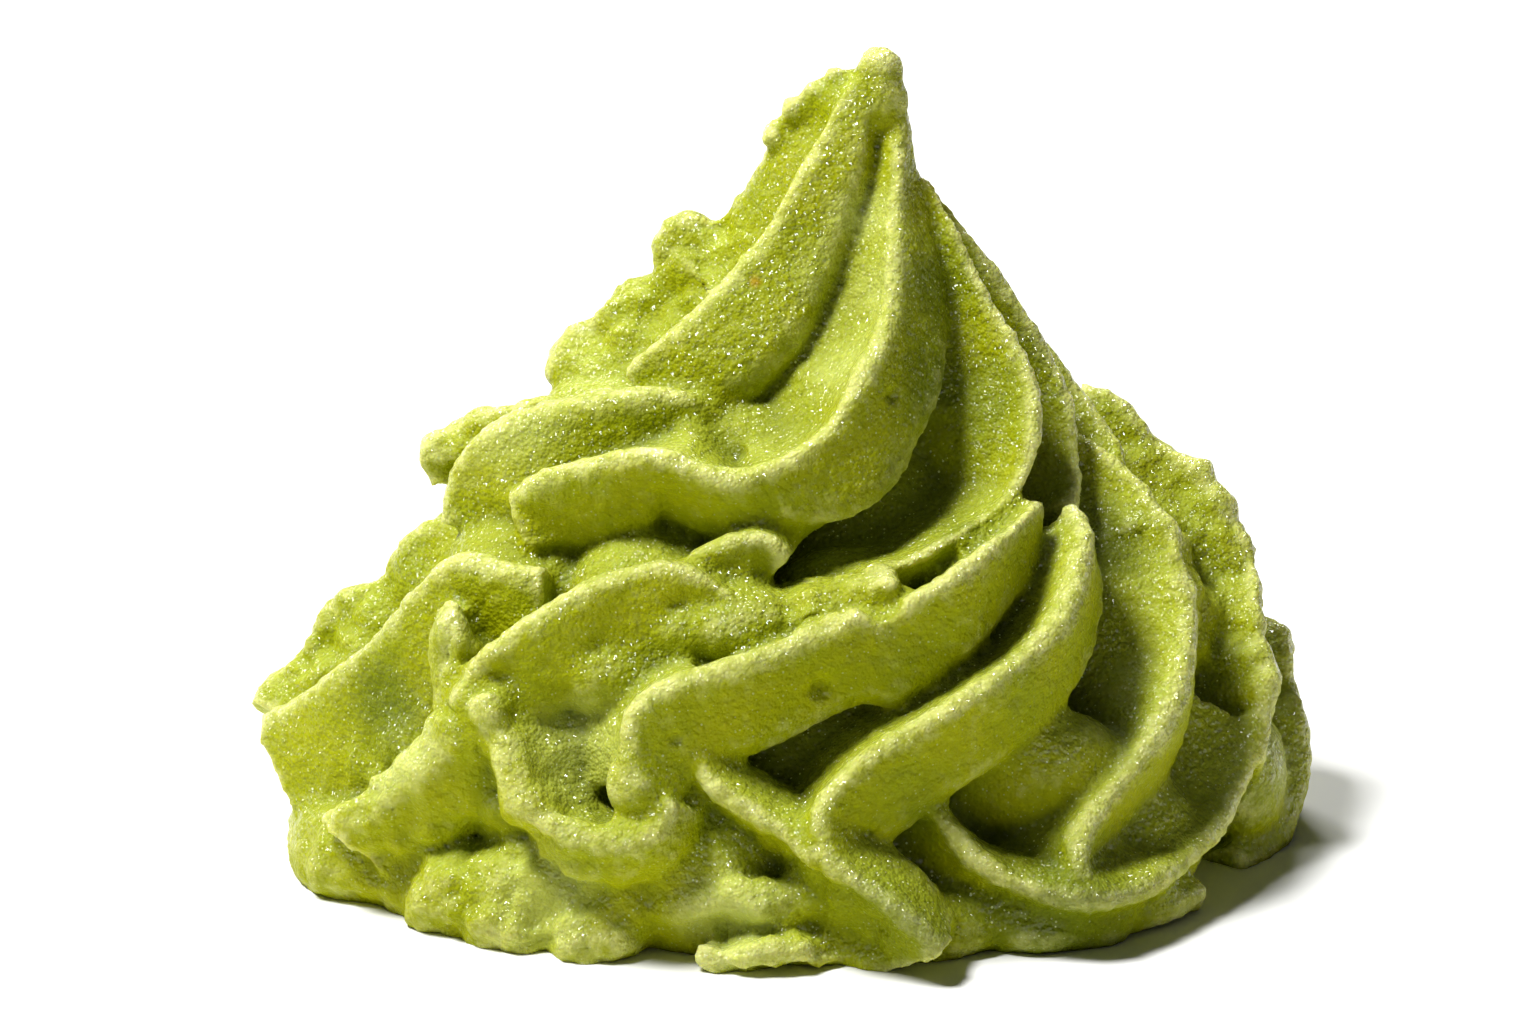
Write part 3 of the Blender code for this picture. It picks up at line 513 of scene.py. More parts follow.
@dataclass(frozen=True)
class Roughness:
    """How far the paste's surface stands off its smooth shape, in millimetres.

    A size is the width of one swell, lump, bite or pebble, and a middle is the distance within
    it at which the surface stays where it was. The tip above the calm heights is smoother.
    """

    swell: float = 0.22
    swell_size: float = 2.8
    torn_swell: float = 0.55
    torn_swell_size: float = 1.9
    torn_swell_shift: tuple[float, float, float] = (7.0, 3.0, 5.0)
    lumps: float = 0.05
    torn_lumps: float = 0.42
    lump_size: float = 1.05
    lump_middle: float = 0.45
    crest_bite: float = 0.26
    crest_size: float = 0.62
    crest_range: tuple[float, float] = (0.05, 0.40)
    torn_bite: float = 0.5
    pebble: float = 0.12
    pebble_size: float = 0.46
    pebble_middle: float = 0.4
    calm_heights: tuple[float, float] = (23.5, 26.0)
    calm_share: float = 0.4
    torn: tuple[TornPatch, ...] = (
        TornPatch((-4.5, 2.0, 19.0), 5.0),
        TornPatch((-10.5, -1.0, 14.0), 3.2),
        TornPatch((-15.0, -1.0, 8.0), 4.0),
        TornPatch((15.5, 0.0, 8.5), 6.5),
        TornPatch((-8.4, -13.0, 1.6), 4.5),
        TornPatch((-13.5, -9.5, 2.5), 3.6),
        TornPatch((0.0, -15.0, 1.0), 3.8),
        TornPatch((-10.5, -11.0, 8.0), 2.4),
        TornPatch((2.0, -11.5, 12.0), 2.4),
        TornPatch((0.0, 14.0, 4.0), 7.0),
    )
    pits: tuple[Pit, ...] = (
        Pit((1.2, -14.0, 8.9), 0.5, 0.4),
        Pit((3.6, -7.4, 17.0), 0.32, 0.2),
        Pit((-3.6, -13.4, 7.6), 0.3, 0.18),
        Pit((7.6, -11.9, 8.4), 0.28, 0.16),
    )

    def torn_share(self, place: Vector) -> float:
        """Return how torn the paste is at this place, from 0 to 1."""
        return max(patch.share(place) for patch in self.torn)

    def height(self, place: Vector, relief: float, torn: float) -> float:
        """Return how far a point is pushed out along its normal.

        Args:
            place: The point, in millimetres.
            relief: How far it stands above its surroundings, in millimetres.
            torn: How torn the paste is there, from 0 to 1.

        Returns:
            The distance in millimetres, negative for inwards.
        """
        swell = noise.noise(place / self.swell_size)
        torn_swell = noise.noise(place / self.torn_swell_size + Vector(self.torn_swell_shift))
        lump = self.lump_middle - noise.voronoi(place / self.lump_size)[0][0]
        crest = smooth_step(*self.crest_range, relief)
        bite = noise.noise(place / self.crest_size)
        pebble = self.pebble_middle - noise.voronoi(place / self.pebble_size)[0][0]
        calm = mix(1.0, self.calm_share, smooth_step(*self.calm_heights, place.z))
        return calm * (swell * self.swell + torn_swell * self.torn_swell * torn
                       + lump * mix(self.lumps, self.torn_lumps, torn)
                       + bite * self.crest_bite * max(crest, self.torn_bite * torn)
                       + pebble * self.pebble) - sum(pit.sink(place) for pit in self.pits)


@dataclass
class Skin:
    """Makes one closed skin of many overlapping shapes and gives it the paste's surface."""

    voxel: float = 0.20
    smoothing: int = 2
    relief_passes: int = 25
    rise_passes: int = 160
    most_triangles: int = 196_000
    roughness: Roughness = field(default_factory=Roughness)

    def merged(self, rough: bpy.types.Mesh) -> bpy.types.Mesh:
        """Merge overlapping shapes by voxels and take the voxels' steps off.

        Args:
            rough: The overlapping closed shapes, in metres.

        Returns:
            The merged mesh.
        """
        obj = bpy.data.objects.new("merging", rough)
        bpy.context.scene.collection.objects.link(obj)
        remesh = obj.modifiers.new("merge", "REMESH")
        remesh.mode = "VOXEL"
        remesh.voxel_size = self.voxel * MM
        soften = obj.modifiers.new("soften", "SMOOTH")
        soften.factor = 0.5
        soften.iterations = self.smoothing
        graph = bpy.context.evaluated_depsgraph_get()
        mesh = bpy.data.meshes.new_from_object(obj.evaluated_get(graph))
        bpy.data.objects.remove(obj)
        return mesh

    def drop_pockets(self, bm: bmesh.types.BMesh) -> None:
        """Keep the outer skin: drop pockets that the folds shut in and crumbs beside it."""
        top = max(bm.verts, key=lambda vert: vert.co.z)
        outer = {top}
        search = [top]
        while search:
            for edge in search.pop().link_edges:
                for vert in edge.verts:
                    if vert not in outer:
                        outer.add(vert)
                        search.append(vert)
        inner = [vert for vert in bm.verts if vert not in outer]
        bmesh.ops.delete(bm, geom=inner, context="VERTS")

    def reliefs(self, bm: bmesh.types.BMesh) -> tuple[list[float], list[float]]:
        """Return how far each point stands above its near and its wider surroundings, in mm."""
        sharp = [vert.co.copy() for vert in bm.verts]
        normals = [vert.normal.copy() for vert in bm.verts]
        heights = []
        for passes in (self.relief_passes, self.rise_passes - self.relief_passes):
            for _ in range(passes):
                bmesh.ops.smooth_vert(bm, verts=bm.verts, factor=0.5, use_axis_x=True,
                                      use_axis_y=True, use_axis_z=True)
            heights.append([(place - vert.co).dot(normal) / MM
                            for place, vert, normal in zip(sharp, bm.verts, normals)])
        for place, vert in zip(sharp, bm.verts):
            vert.co = place
        bm.normal_update()
        return heights[0], heights[1]

    def roughen(self, bm: bmesh.types.BMesh) -> None:
        """Push the skin in and out, and store on its points how they stand."""
        layers = [bm.verts.layers.float.new(item.value) for item in Attribute]
        moves = []
        for vert, relief, rise in zip(bm.verts, *self.reliefs(bm)):
            place = vert.co / MM
            torn = self.roughness.torn_share(place)
            for layer, value in zip(layers, (relief, rise)):
                vert[layer] = value
            moves.append(vert.normal * self.roughness.height(place, relief, torn) * MM)
        for vert, move in zip(bm.verts, moves):
            vert.co += move

    def rest_flat(self, bm: bmesh.types.BMesh) -> None:
        """Cut the skin off where the dollop rests, and close it with a flat foot."""
        everything = bm.verts[:] + bm.edges[:] + bm.faces[:]
        bmesh.ops.bisect_plane(bm, geom=everything, dist=1e-7, plane_co=(0, 0, 0),
                               plane_no=(0, 0, -1), clear_outer=True)
        rim = [edge for edge in bm.edges if edge.is_boundary]
        bmesh.ops.holes_fill(bm, edges=rim, sides=0)
        bmesh.ops.triangulate(bm, faces=[face for face in bm.faces if len(face.verts) > 4])

    def thinned(self, obj: bpy.types.Object) -> bpy.types.Mesh:
        """Return the object's mesh with its flatter stretches thinned to the triangle limit."""
        triangles = sum(len(face.vertices) - 2 for face in obj.data.polygons)
        thin = obj.modifiers.new("thin", "DECIMATE")
        thin.ratio = min(1.0, self.most_triangles / triangles)
        graph = bpy.context.evaluated_depsgraph_get()
        mesh = bpy.data.meshes.new_from_object(obj.evaluated_get(graph))
        obj.modifiers.remove(thin)
        return mesh


def fit_to_box(mesh: bpy.types.Mesh, low: Vector, high: Vector) -> Vector:
    """Move and stretch a mesh so that it just fills a box.

    Args:
        mesh: The mesh to fit, in metres.
        low: The box's lowest corner.
        high: The box's highest corner.

    Returns:
        The move of the mesh's middle, which what stands round the mesh follows.
    """
    corners = [vert.co for vert in mesh.vertices]
    own_low = Vector([min(co[axis] for co in corners) for axis in range(3)])
    own_high = Vector([max(co[axis] for co in corners) for axis in range(3)])
    stretch = Vector([(high[i] - low[i]) / (own_high[i] - own_low[i]) for i in range(3)])
    LOG.info("fitted to the solid's box, stretched by %s", [round(s, 4) for s in stretch])
    mesh.transform(Matrix.Translation(low) @ Matrix.Diagonal(stretch).to_4x4()
                   @ Matrix.Translation(-own_low))
    return (low + high) / 2.0 - (own_low + own_high) / 2.0


# ---------------------------------------------------------------------------------------------
# Finishes
# ---------------------------------------------------------------------------------------------


class Graph:
    """A thin hand on a node tree: it adds nodes, sets their values and joins them."""

    def __init__(self, tree: bpy.types.NodeTree) -> None:
        """Take hold of a tree and empty it."""
        self.tree = tree
        tree.nodes.clear()

    def add(self, kind: str, inputs: dict | None = None, **settings: object) -> bpy.types.Node:
        """Add a node.

        Args:
            kind: The node's type name, without its ShaderNode prefix.
            inputs: Values or output sockets for its inputs, by name or index.
            **settings: Its other settings.

        Returns:
            The new node.
        """
        prefix = "" if kind.startswith("NodeGroup") else "ShaderNode"
        node = self.tree.nodes.new(prefix + kind)
        for name, value in settings.items():
            setattr(node, name, value)
        for name, value in (inputs or {}).items():
            if isinstance(value, bpy.types.NodeSocket):
                self.tree.links.new(value, node.inputs[name])
            else:
                node.inputs[name].default_value = value
        return node

    def math(self, operation: str, a: object, b: object = 0.0) -> bpy.types.NodeSocket:
        """Return the output of a Math node on two values or sockets."""
        return self.add("Math", {0: a, 1: b}, operation=operation).outputs[0]

    def step(self, value: object, low: float, high: float) -> bpy.types.NodeSocket:
        """Return a smooth 0 to 1 rise of value between low and high."""
        node = self.add("MapRange", {"Value": value, "From Min": low, "From Max": high},
                        interpolation_type="SMOOTHSTEP")
        return node.outputs["Result"]

    def blend(self, share: object, a: object, b: object) -> bpy.types.NodeSocket:
        """Return a colour that goes from a to b as share goes from 0 to 1."""
        node = self.add("Mix", {0: share, 6: a, 7: b}, data_type="RGBA")
        return node.outputs[2]

    def lay(self, tone: object, mask: bpy.types.NodeSocket, share: float,
            colour: Colour) -> bpy.types.NodeSocket:
        """Return a tone with a plain colour laid over it.

        Args:
            tone: The colour underneath.
            mask: Where the plain colour shows, from 0 to 1.
            share: How much of it shows where the mask is 1.
            colour: The plain colour.

        Returns:
            The colour socket.
        """
        return self.blend(self.math("MULTIPLY", mask, share), tone, (*colour, 1.0))

    def pattern(self, kind: bpy.types.NodeTree, place: bpy.types.NodeSocket,
              **values: object) -> bpy.types.Node:
        """Add a group that patterns the paste by place, and set its other values."""
        node = self.add("Group", node_tree=kind)
        self.tree.links.new(place, node.inputs["Place"])
        for name, value in values.items():
            node.inputs[name].default_value = value
        return node


def group(name: str, inputs: dict[str, str], outputs: dict[str, str]) -> tuple[Graph, dict, dict]:
    """Start a shader node group.

    Args:
        name: The group's name.
        inputs: Socket types by input name.
        outputs: Socket types by output name.

    Returns:
        The group's graph, its input sockets by name, and its output node's inputs by name.
    """
    tree = bpy.data.node_groups.new(name, "ShaderNodeTree")
    for label, kind in inputs.items():
        tree.interface.new_socket(label, in_out="INPUT", socket_type=kind)
    for label, kind in outputs.items():
        tree.interface.new_socket(label, in_out="OUTPUT", socket_type=kind)
    graph = Graph(tree)
    start = graph.add("NodeGroupInput")
    end = graph.add("NodeGroupOutput")
    return graph, {k: start.outputs[k] for k in inputs}, {k: end.inputs[k] for k in outputs}


FLOAT, VECTOR = "NodeSocketFloat", "NodeSocketVector"
ROUNDING = 0.35


def beads_group() -> bpy.types.NodeTree:
    """Return a group that makes round wet beads of a given size, as a height and a mask."""
    graph, given, out = group("wet_beads", {"Place": VECTOR, "Size": FLOAT},
                              {"Height": FLOAT, "Tops": FLOAT})
    scale = graph.math("DIVIDE", 1.0, given["Size"])
    cells = graph.add("TexVoronoi", {"Vector": given["Place"], "Scale": scale,
                                     "Randomness": 1.0}, feature="SMOOTH_F1")
    cells.inputs["Smoothness"].default_value = ROUNDING
    height = graph.math("SUBTRACT", 1.0, cells.outputs["Distance"])
    graph.tree.links.new(height, out["Height"])
    graph.tree.links.new(graph.step(height, 0.62, 0.95), out["Tops"])
    return graph.tree


def glints_group() -> bpy.types.NodeTree:
    """Return a group that scatters small round painted glints of a given spacing, as a mask."""
    graph, given, out = group("painted_glints", {"Place": VECTOR, "Spacing": FLOAT},
                              {"Mask": FLOAT})
    scale = graph.math("DIVIDE", 1.0, given["Spacing"])
    cells = graph.add("TexVoronoi", {"Vector": given["Place"], "Scale": scale})
    chance = graph.add("SeparateColor", {0: cells.outputs["Color"]})
    reach = graph.math("SUBTRACT", graph.math("MULTIPLY", chance.outputs[0], 0.75), 0.38)
    inside = graph.math("SUBTRACT", reach, cells.outputs["Distance"])
    graph.tree.links.new(graph.step(inside, 0.0, 0.12), out["Mask"])
    return graph.tree


def mottle_group() -> bpy.types.NodeTree:
    """Return a group that makes a soft uneven mask of a given size, from 0 to 1."""
    graph, given, out = group("mottle", {"Place": VECTOR, "Size": FLOAT, "Detail": FLOAT},
                              {"Mask": FLOAT})
    scale = graph.math("DIVIDE", 1.0, given["Size"])
    cloud = graph.add("TexNoise", {"Vector": given["Place"], "Scale": scale,
                                   "Detail": given["Detail"], "Roughness": 0.6})
    graph.tree.links.new(graph.step(cloud.outputs["Fac"], 0.3, 0.7), out["Mask"])
    return graph.tree


def spot_group() -> bpy.types.NodeTree:
    """Return a group that makes a soft uneven spot round a centre, from 0 to 1."""
    graph, given, out = group("spot", {"Place": VECTOR, "Centre": VECTOR, "Radius": FLOAT},
                              {"Mask": FLOAT})
    cloud = graph.add("TexNoise", {"Vector": given["Place"], "Scale": 0.9, "Detail": 2.0})
    away = graph.add("VectorMath", {0: given["Place"], 1: given["Centre"]},
                     operation="DISTANCE").outputs["Value"]
    away = graph.math("MULTIPLY", away, graph.math("ADD", 0.6, graph.math(
        "MULTIPLY", cloud.outputs["Fac"], 0.8)))
    near = graph.math("DIVIDE", away, given["Radius"])
    graph.tree.links.new(graph.math("SUBTRACT", 1.0, graph.step(near, 0.2, 1.0)), out["Mask"])
    return graph.tree


@dataclass(frozen=True)
class Tint:
    """A spot of painted shade, painted light or stain, by its centre and radius in millimetres."""

    centre: tuple[float, float, float]
    radius: float
    colour: Colour
    share: float


# Painted shade (darker green), painted light (paler green), and a small orange stain.
PAINTED_SHADE: Colour = (0.125, 0.165, 0.001)
PAINTED_LIGHT: Colour = (0.70, 0.76, 0.19)
ORANGE: Colour = (0.75, 0.30, 0.01)


@dataclass(frozen=True)
class PasteFinish:
    """Moist wasabi paste: painted highlight on crests, painted shade in grooves, light soaks in.

    A share is how much of a colour shows at most. A range is where it starts to show and where
    it shows fully: of relief or rise in millimetres, or of how far the surface faces up. The
    coarse share is the coarse beads' part of the grain, and the film share is the weight that
    the wet film keeps away from the crests. Wavering is how far the mottle shifts an edge.
    Dryness is the roughness, what a dry patch adds to it and what a bead's wet top takes off.
    Tints of painted light, shade and stain lie under the painted crest highlight; shades over it.
    """

    pale: Colour = (0.90, 0.91, 0.33)
    body: Colour = (0.43, 0.45, 0.001)
    painted_shade_green: Colour = (0.055, 0.078, 0.0006)
    fresh: Colour = (0.30, 0.365, 0.002)
    painted_top_light: Colour = (0.46, 0.52, 0.05)
    painted_glint: Colour = (0.80, 0.86, 0.42)
    fleck: Colour = (0.10, 0.12, 0.01)
    fresh_share: float = 0.55
    painted_top_light_share: float = 0.7
    painted_top_light_range: tuple[float, float] = (0.25, 0.95)
    wavering: float = 0.10
    crest_highlight_share: float = 0.85
    crest_range: tuple[float, float] = (0.07, 0.32)
    hollow_shade_share: float = 0.85
    hollow_range: tuple[float, float] = (-0.85, 0.02)
    groove_shade_share: float = 0.6
    groove_range: tuple[float, float] = (-0.40, 0.02)
    fleck_share: float = 0.45
    fleck_range: tuple[float, float] = (0.03, 0.075)
    flecks_per_mm: float = 1.1
    cloud_size: float = 3.0
    patch_size: float = 1.2
    mottle_size: float = 0.5
    bead_size: float = 0.26
    bead_depth: float = 0.12 * MM
    coarse_share: float = 0.6
    painted_bead_gap_share: float = 0.18
    fine_size: float = 0.11
    film_size: float = 0.21
    film_depth: float = 0.18 * MM
    film_share: float = 0.8
    film_range: tuple[float, float] = (-0.1, 0.5)
    film_crest: tuple[float, float] = (0.06, 0.36)
    dryness: tuple[float, float, float] = (0.40, 0.14, 0.20)
    glint_spacing: float = 0.14
    painted_glint_share: float = 0.8
    glint_least: float = 0.35
    # Spots of painted shade and painted light that make some folds darker or paler, and two orange
    # stains.
    tints: tuple[Tint, ...] = (
        Tint((5.2, -3.2, 19.8), 2.2, PAINTED_SHADE, 0.65),
        Tint((5.6, -5.2, 17.2), 2.8, PAINTED_SHADE, 0.8),
        Tint((5.0, -7.8, 14.2), 2.6, PAINTED_SHADE, 0.8),
        Tint((8.4, -2.0, 17.0), 2.2, PAINTED_SHADE, 0.6),
        Tint((9.4, -5.0, 11.6), 2.6, PAINTED_SHADE, 0.5),
        Tint((6.4, -4.2, 16.0), 2.4, PAINTED_SHADE, 0.4),
        Tint((9.1, -2.5, 15.4), 1.8, PAINTED_SHADE, 0.4),
        Tint((-13.2, -7.6, 6.6), 2.4, PAINTED_SHADE, 0.7),
        Tint((8.6, -13.4, 0.6), 4.2, PAINTED_SHADE, 0.7),
        Tint((2.6, -2.6, 22.0), 1.6, PAINTED_LIGHT, 0.7),
        Tint((2.2, -4.2, 20.4), 2.2, PAINTED_LIGHT, 0.8),
        Tint((1.2, -5.6, 18.6), 2.4, PAINTED_LIGHT, 0.8),
        Tint((-0.4, -7.2, 17.0), 2.2, PAINTED_LIGHT, 0.7),
        Tint((-6.6, -12.4, 6.8), 2.4, PAINTED_LIGHT, 0.6),
        Tint((-13.0, -10.4, 6.2), 2.4, PAINTED_LIGHT, 0.8),
        Tint((-7.9, -13.4, 1.6), 2.6, PAINTED_LIGHT, 0.5),
        Tint((-2.1, -15.2, 1.8), 2.6, PAINTED_LIGHT, 0.8),
        Tint((16.8, -2.8, 3.2), 2.4, PAINTED_LIGHT, 0.8),
        Tint((-9.0, -5.4, 15.8), 2.6, PAINTED_LIGHT, 0.45),
        Tint((-3.3, -4.6, 18.1), 0.4, ORANGE, 0.6),
        Tint((-0.9, -3.5, 20.0), 0.35, ORANGE, 0.6),
    )
    # Painted shade laid over the crest highlight: at the right front foot, in a valley and in a
    # slot.
    shades: tuple[Tint, ...] = (
        Tint((3.6, -15.9, 2.2), 3.4, PAINTED_SHADE, 0.5),
        Tint((10.0, -13.5, 1.0), 4.0, PAINTED_SHADE, 0.45),
        Tint((10.9, -3.6, 10.4), 2.2, PAINTED_SHADE, 0.6),
        Tint((4.2, -12.5, 5.0), 1.8, PAINTED_SHADE, 0.7),
    )

    def millimetres(self, graph: Graph) -> bpy.types.NodeSocket:
        """Return the point's own place in millimetres."""
        place = graph.add("TexCoord").outputs["Object"]
        scaled = graph.add("VectorMath", {0: place}, operation="SCALE")
        scaled.inputs["Scale"].default_value = 1.0 / MM
        return scaled.outputs[0]

    def tinted(self, graph: Graph, place: bpy.types.NodeSocket, tone: bpy.types.NodeSocket,
               tints: tuple[Tint, ...], spot: bpy.types.NodeTree) -> bpy.types.NodeSocket:
        """Return a colour with spots of painted light, painted shade or stain laid over it.

        Args:
            graph: The material's graph.
            place: The point's place in millimetres.
            tone: The colour under the tints.
            tints: The spots of painted light, painted shade or stain, in order.
            spot: The spot group.

        Returns:
            The colour socket.
        """
        for tint in tints:
            mark = graph.pattern(spot, place, Centre=tint.centre, Radius=tint.radius)
            tone = graph.lay(tone, mark.outputs["Mask"], tint.share, tint.colour)
        return tone

    def colour(self, graph: Graph, place: bpy.types.NodeSocket, up: bpy.types.NodeSocket,
               mottle: bpy.types.NodeTree, spot: bpy.types.NodeTree) -> bpy.types.NodeSocket:
        """Return the paste's colour with its painted light and shade, without its beads and
        glints.

        Args:
            graph: The material's graph.
            place: The point's place in millimetres.
            up: How far the surface faces up, from -1 to 1.
            mottle: The mottle group.
            spot: The spot group.

        Returns:
            The colour socket.
        """
        relief = graph.add("Attribute", attribute_name=Attribute.RELIEF.value).outputs["Fac"]
        rise = graph.add("Attribute", attribute_name=Attribute.RISE.value).outputs["Fac"]
        broad = graph.pattern(mottle, place, Size=self.cloud_size, Detail=3.0).outputs["Mask"]
        fine = graph.pattern(mottle, place, Size=self.mottle_size, Detail=4.0).outputs["Mask"]
        tone = graph.lay((*self.body, 1.0), broad, self.fresh_share, self.fresh)
        # Painted light: surfaces that face up are laid paler, as if the light from above fell on
        # them.
        tone = graph.lay(tone, graph.step(up, *self.painted_top_light_range), self.painted_top_light_share, self.painted_top_light)
        wavering = graph.math("ADD", relief, graph.math("MULTIPLY", fine, self.wavering))
        hollow = graph.math("SUBTRACT", 1.0, graph.step(rise, *self.hollow_range))
        groove = graph.math("SUBTRACT", 1.0, graph.step(wavering, *self.groove_range))
        crest = graph.step(wavering, *self.crest_range)
        # Painted shade: hollows and grooves are laid deep green, darker where shade falls.
        tone = graph.lay(tone, hollow, self.hollow_shade_share, self.painted_shade_green)
        tone = graph.lay(tone, groove, self.groove_shade_share, self.painted_shade_green)
        # Spots of painted light and painted shade, and the two stains.
        tone = self.tinted(graph, place, tone, self.tints, spot)
        # Painted highlight: the crests are laid pale, where light catches their thin rims.
        tone = graph.lay(tone, crest, self.crest_highlight_share, self.pale)
        # Painted shade laid over the crest highlight.
        tone = self.tinted(graph, place, tone, self.shades, spot)
        cells = graph.add("TexVoronoi", {"Vector": place, "Scale": self.flecks_per_mm})
        speck = graph.math("SUBTRACT", 1.0, graph.step(cells.outputs["Distance"],
                                                       *self.fleck_range))
        return graph.lay(tone, speck, self.fleck_share, self.fleck)

    def film_normal(self, graph: Graph, place: bpy.types.NodeSocket) -> bpy.types.NodeSocket:
        """Return the normal of the wet film, which lies over the grain in small domes."""
        domes = graph.add("TexVoronoi", {"Vector": place, "Scale": 1.0 / self.film_size},
                          feature="SMOOTH_F1")
        domes.inputs["Smoothness"].default_value = ROUNDING
        height = graph.math("SUBTRACT", 1.0, domes.outputs["Distance"])
        return graph.add("Bump", {"Height": height, "Strength": 1.0,
                                  "Distance": self.film_depth}).outputs["Normal"]

    def material(self) -> bpy.types.Material:
        """Return the paste's material."""
        material = bpy.data.materials.new("moist_wasabi_paste")
        material.use_nodes = True
        graph = Graph(material.node_tree)
        beads, mottle = beads_group(), mottle_group()
        place = self.millimetres(graph)
        facing = graph.add("SeparateXYZ", {0: graph.add("TexCoord").outputs["Normal"]})
        up = facing.outputs["Z"]
        relief = graph.add("Attribute", attribute_name=Attribute.RELIEF.value).outputs["Fac"]
        coarse = graph.pattern(beads, place, Size=self.bead_size)
        fine = graph.pattern(beads, place, Size=self.fine_size)
        patch = graph.pattern(mottle, place, Size=self.patch_size, Detail=3.0)
        glints = graph.pattern(glints_group(), place, Spacing=self.glint_spacing)

        height = graph.math(
            "ADD", graph.math("MULTIPLY", coarse.outputs["Height"], self.coarse_share),
            graph.math("MULTIPLY", fine.outputs["Height"], 1.0 - self.coarse_share))
        bump = graph.add("Bump", {"Height": height, "Strength": 1.0,
                                  "Distance": self.bead_depth})
        dry, patchy, wet = self.dryness
        rough = graph.math("SUBTRACT", graph.math("ADD", dry, graph.math(
            "MULTIPLY", patch.outputs["Mask"], patchy)),
            graph.math("MULTIPLY", coarse.outputs["Tops"], wet))
        upward = graph.step(up, *self.film_range)
        film = graph.math("MULTIPLY", upward, graph.math(
            "ADD", self.film_share, graph.math(
                "MULTIPLY", graph.step(relief, *self.film_crest), 1.0 - self.film_share)))
        tone = self.colour(graph, place, up, mottle, spot_group())
        # Painted shade between the beads: all but the bead tops are laid a little darker.
        between = graph.math("SUBTRACT", 1.0, coarse.outputs["Tops"])
        tone = graph.lay(tone, between, self.painted_bead_gap_share, self.painted_shade_green)
        # Painted highlights: small pale glints are laid into the colour, most where the surface
        # faces up.
        shown = graph.math("MULTIPLY", glints.outputs["Mask"], graph.math(
            "ADD", self.glint_least, graph.math("MULTIPLY", upward, 1.0 - self.glint_least)))
        tone = graph.lay(tone, shown, self.painted_glint_share, self.painted_glint)

        shader = graph.add("BsdfPrincipled", {
            "Base Color": tone, "Roughness": rough, "Coat Weight": film,
            "Normal": bump.outputs["Normal"], "IOR": 1.42, "Coat Roughness": 0.12,
            "Coat Normal": self.film_normal(graph, place),
            "Subsurface Weight": 0.5, "Subsurface Radius": (1.3, 1.05, 0.12),
            "Subsurface Scale": 0.4 * MM, "Specular IOR Level": 0.1,
        })
        end = graph.add("OutputMaterial")
        graph.tree.links.new(shader.outputs["BSDF"], end.inputs["Surface"])
        return material


@dataclass(frozen=True)
class FloorFinish:
    """A plain matt white board with a trace of unevenness."""

    colour: Colour = (0.90, 0.90, 0.885)

    def material(self) -> bpy.types.Material:
        """Return the floor's material."""
        material = bpy.data.materials.new("plain_pale_floor")
        material.use_nodes = True
        graph = Graph(material.node_tree)
        place = graph.add("TexCoord").outputs["Object"]
        cloud = graph.add("TexNoise", {"Vector": place, "Scale": 18.0, "Detail": 3.0})
        shade = tuple(0.985 * part for part in self.colour)
        tone = graph.blend(cloud.outputs["Fac"], (*self.colour, 1.0), (*shade, 1.0))
        shader = graph.add("BsdfPrincipled", {"Base Color": tone, "Roughness": 0.85})
        end = graph.add("OutputMaterial")
        graph.tree.links.new(shader.outputs["BSDF"], end.inputs["Surface"])
        return material


# ---------------------------------------------------------------------------------------------
# The dollop and the studio
# ---------------------------------------------------------------------------------------------


@dataclass
class Dollop:
    """The whole dollop of paste, one piece."""

    skin: Skin
    finish: PasteFinish

    def rough_mesh(self) -> bpy.types.Mesh:
        """Return a mesh of every shape, still overlapping, in metres."""
        bm = bmesh.new()
        CORE.add_to(bm)
        for fold in UPPER_FOLDS + LOWER_FOLDS + LEFT_FOLDS + SKIRT_FOLDS:
            fold.add_to(bm)
        for tier in BACK_TIERS:
            for fold in tier.folds():
                fold.add_to(bm)
        for lump in LUMPS:
            lump.add_to(bm)
        bmesh.ops.recalc_face_normals(bm, faces=bm.faces)
        bmesh.ops.scale(bm, vec=(MM, MM, MM), verts=bm.verts)
        mesh = bpy.data.meshes.new("rough_paste")
        bm.to_mesh(mesh)
        bm.free()
        return mesh

    def build(self) -> tuple[bpy.types.Object, Vector]:
        """Make the dollop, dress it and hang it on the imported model.

        Returns:
            The piece, and how far its middle moved when it was fitted to the solid's box.
        """
        mesh = self.skin.merged(self.rough_mesh())
        bm = bmesh.new()
        bm.from_mesh(mesh)
        self.skin.drop_pockets(bm)
        bm.normal_update()
        self.skin.roughen(bm)
        bm.to_mesh(mesh)
        bm.free()
        piece = bpy.data.objects.new("piped_paste", mesh)
        bpy.context.scene.collection.objects.link(piece)
        thin = self.skin.thinned(piece)
        bm = bmesh.new()
        bm.from_mesh(thin)
        self.skin.rest_flat(bm)
        self.skin.drop_pockets(bm)
        bm.to_mesh(thin)
        bm.free()
        moved = fit_to_box(thin, *CAD_BOX)
        piece.data = thin
        thin.materials.append(self.finish.material())
        thin.shade_smooth()
        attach(piece, BODY)
        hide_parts(NODE)
        LOG.info("piped_paste: %d faces", len(thin.polygons))
        return piece, moved


@dataclass(frozen=True)
class SoftLight:
    """One square studio light, by its place from the dollop's middle, in metres."""

    name: str
    offset: tuple[float, float, float]
    side: float
    power: float

    def add(self, target: Vector) -> None:
        """Place the light and turn it to the target."""
        light = bpy.data.lights.new(self.name, "AREA")
        light.size = self.side
        light.energy = self.power
        obj = bpy.data.objects.new(self.name, light)
        obj.location = target + Vector(self.offset)
        obj.rotation_euler = (-Vector(self.offset)).to_track_quat("-Z", "Y").to_euler()
        bpy.context.scene.collection.objects.link(obj)


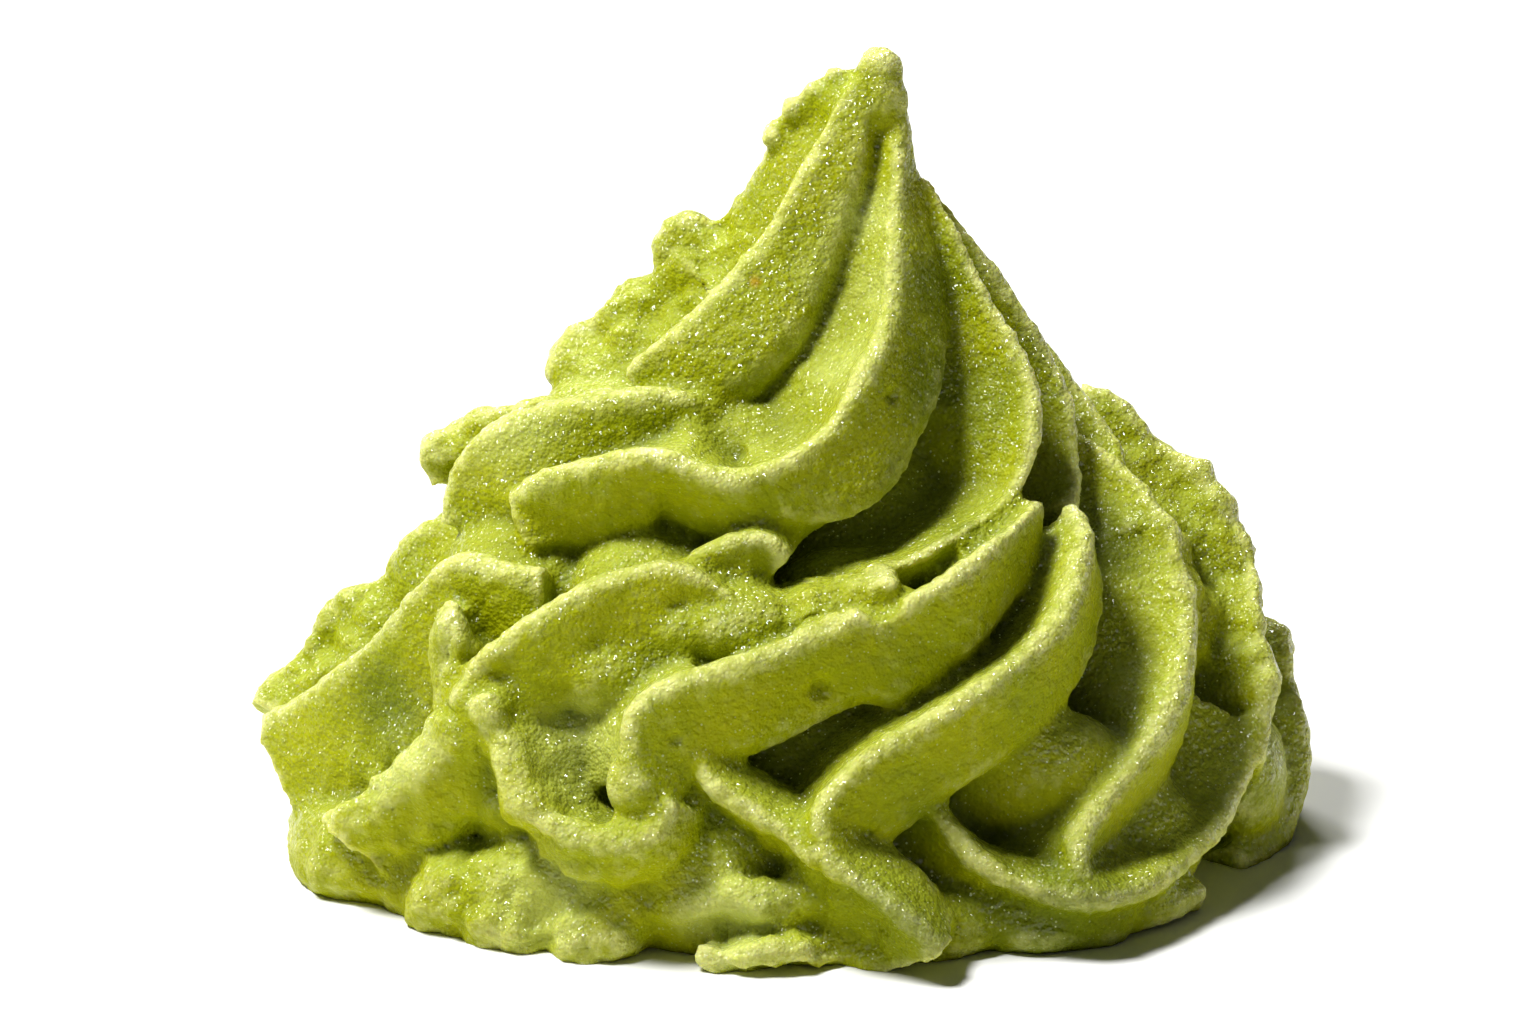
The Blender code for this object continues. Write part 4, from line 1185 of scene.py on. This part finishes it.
@dataclass(frozen=True)
class Studio:
    """The floor, the lights, the surroundings and the camera."""

    aim: tuple[float, float, float] = (-0.57, -3.0, 11.66)
    elevation: float = 20.0
    distance: float = 0.3982
    lens: float = 280.0
    floor_side: float = 1.6
    surround: float = 0.04
    lights: tuple[SoftLight, ...] = (
        SoftLight("key_light", (-0.15, -0.03, 0.32), 0.09, 2.05),
        SoftLight("back_light", (-0.06, 0.26, 0.26), 0.12, 0.9),
    )

    def add_floor(self) -> None:
        """Lay the floor under the dollop."""
        bm = bmesh.new()
        bmesh.ops.create_grid(bm, x_segments=1, y_segments=1, size=self.floor_side / 2.0)
        bmesh.ops.translate(bm, vec=(0.0, 0.0, CAD_BOX[0].z - 0.00002), verts=bm.verts)
        mesh = bpy.data.meshes.new("floor")
        bm.to_mesh(mesh)
        bm.free()
        mesh.materials.append(FloorFinish().material())
        floor = bpy.data.objects.new("floor", mesh)
        bpy.context.scene.collection.objects.link(floor)

    def add_surroundings(self) -> None:
        """Put a soft white surround behind and over the dollop."""
        world = bpy.data.worlds.new("soft_surround")
        world.use_nodes = True
        graph = Graph(world.node_tree)
        dim = graph.add("Background", {"Color": (1.0, 1.0, 1.0, 1.0),
                                       "Strength": self.surround})
        white = graph.add("Background", {"Color": (1.0, 1.0, 1.0, 1.0), "Strength": 1.0})
        seen = graph.add("LightPath").outputs["Is Camera Ray"]
        both = graph.add("MixShader", {0: seen, 1: dim.outputs[0], 2: white.outputs[0]})
        end = graph.add("OutputWorld")
        graph.tree.links.new(both.outputs[0], end.inputs["Surface"])
        bpy.context.scene.world = world

    def add_camera(self, moved: Vector) -> None:
        """Point the camera at the dollop.

        Args:
            moved: How far the dollop's middle moved when it was fitted.
        """
        rise = math.radians(self.elevation)
        back = Vector((0.0, -math.cos(rise), math.sin(rise)))
        data = bpy.data.cameras.new("camera")
        data.lens = self.lens
        data.sensor_width = 36.0
        data.clip_start = 0.01
        data.clip_end = 20.0
        camera = bpy.data.objects.new("camera", data)
        camera.location = Vector(self.aim) * MM + moved + back * self.distance
        camera.rotation_mode = "QUATERNION"
        camera.rotation_quaternion = Quaternion((-back).to_track_quat("-Z", "Y"))
        bpy.context.scene.collection.objects.link(camera)
        bpy.context.scene.camera = camera

    def build(self, moved: Vector) -> None:
        """Set up the whole studio round the dollop."""
        self.add_floor()
        self.add_surroundings()
        target = Vector((0.0, 0.0, CAD_BOX[1].z / 2.0))
        for light in self.lights:
            light.add(target)
        self.add_camera(moved)
        bpy.context.scene.view_settings.view_transform = "Standard"
        LOG.info("studio: %d lights", len(self.lights))


def main() -> None:
    """Build the dollop and its studio."""
    logging.basicConfig(level=logging.INFO, format="%(name)s: %(message)s")
    skin = Skin()
    _, moved = Dollop(skin, PasteFinish()).build()
    Studio().build(moved)


if __name__ == "__main__":
    main()
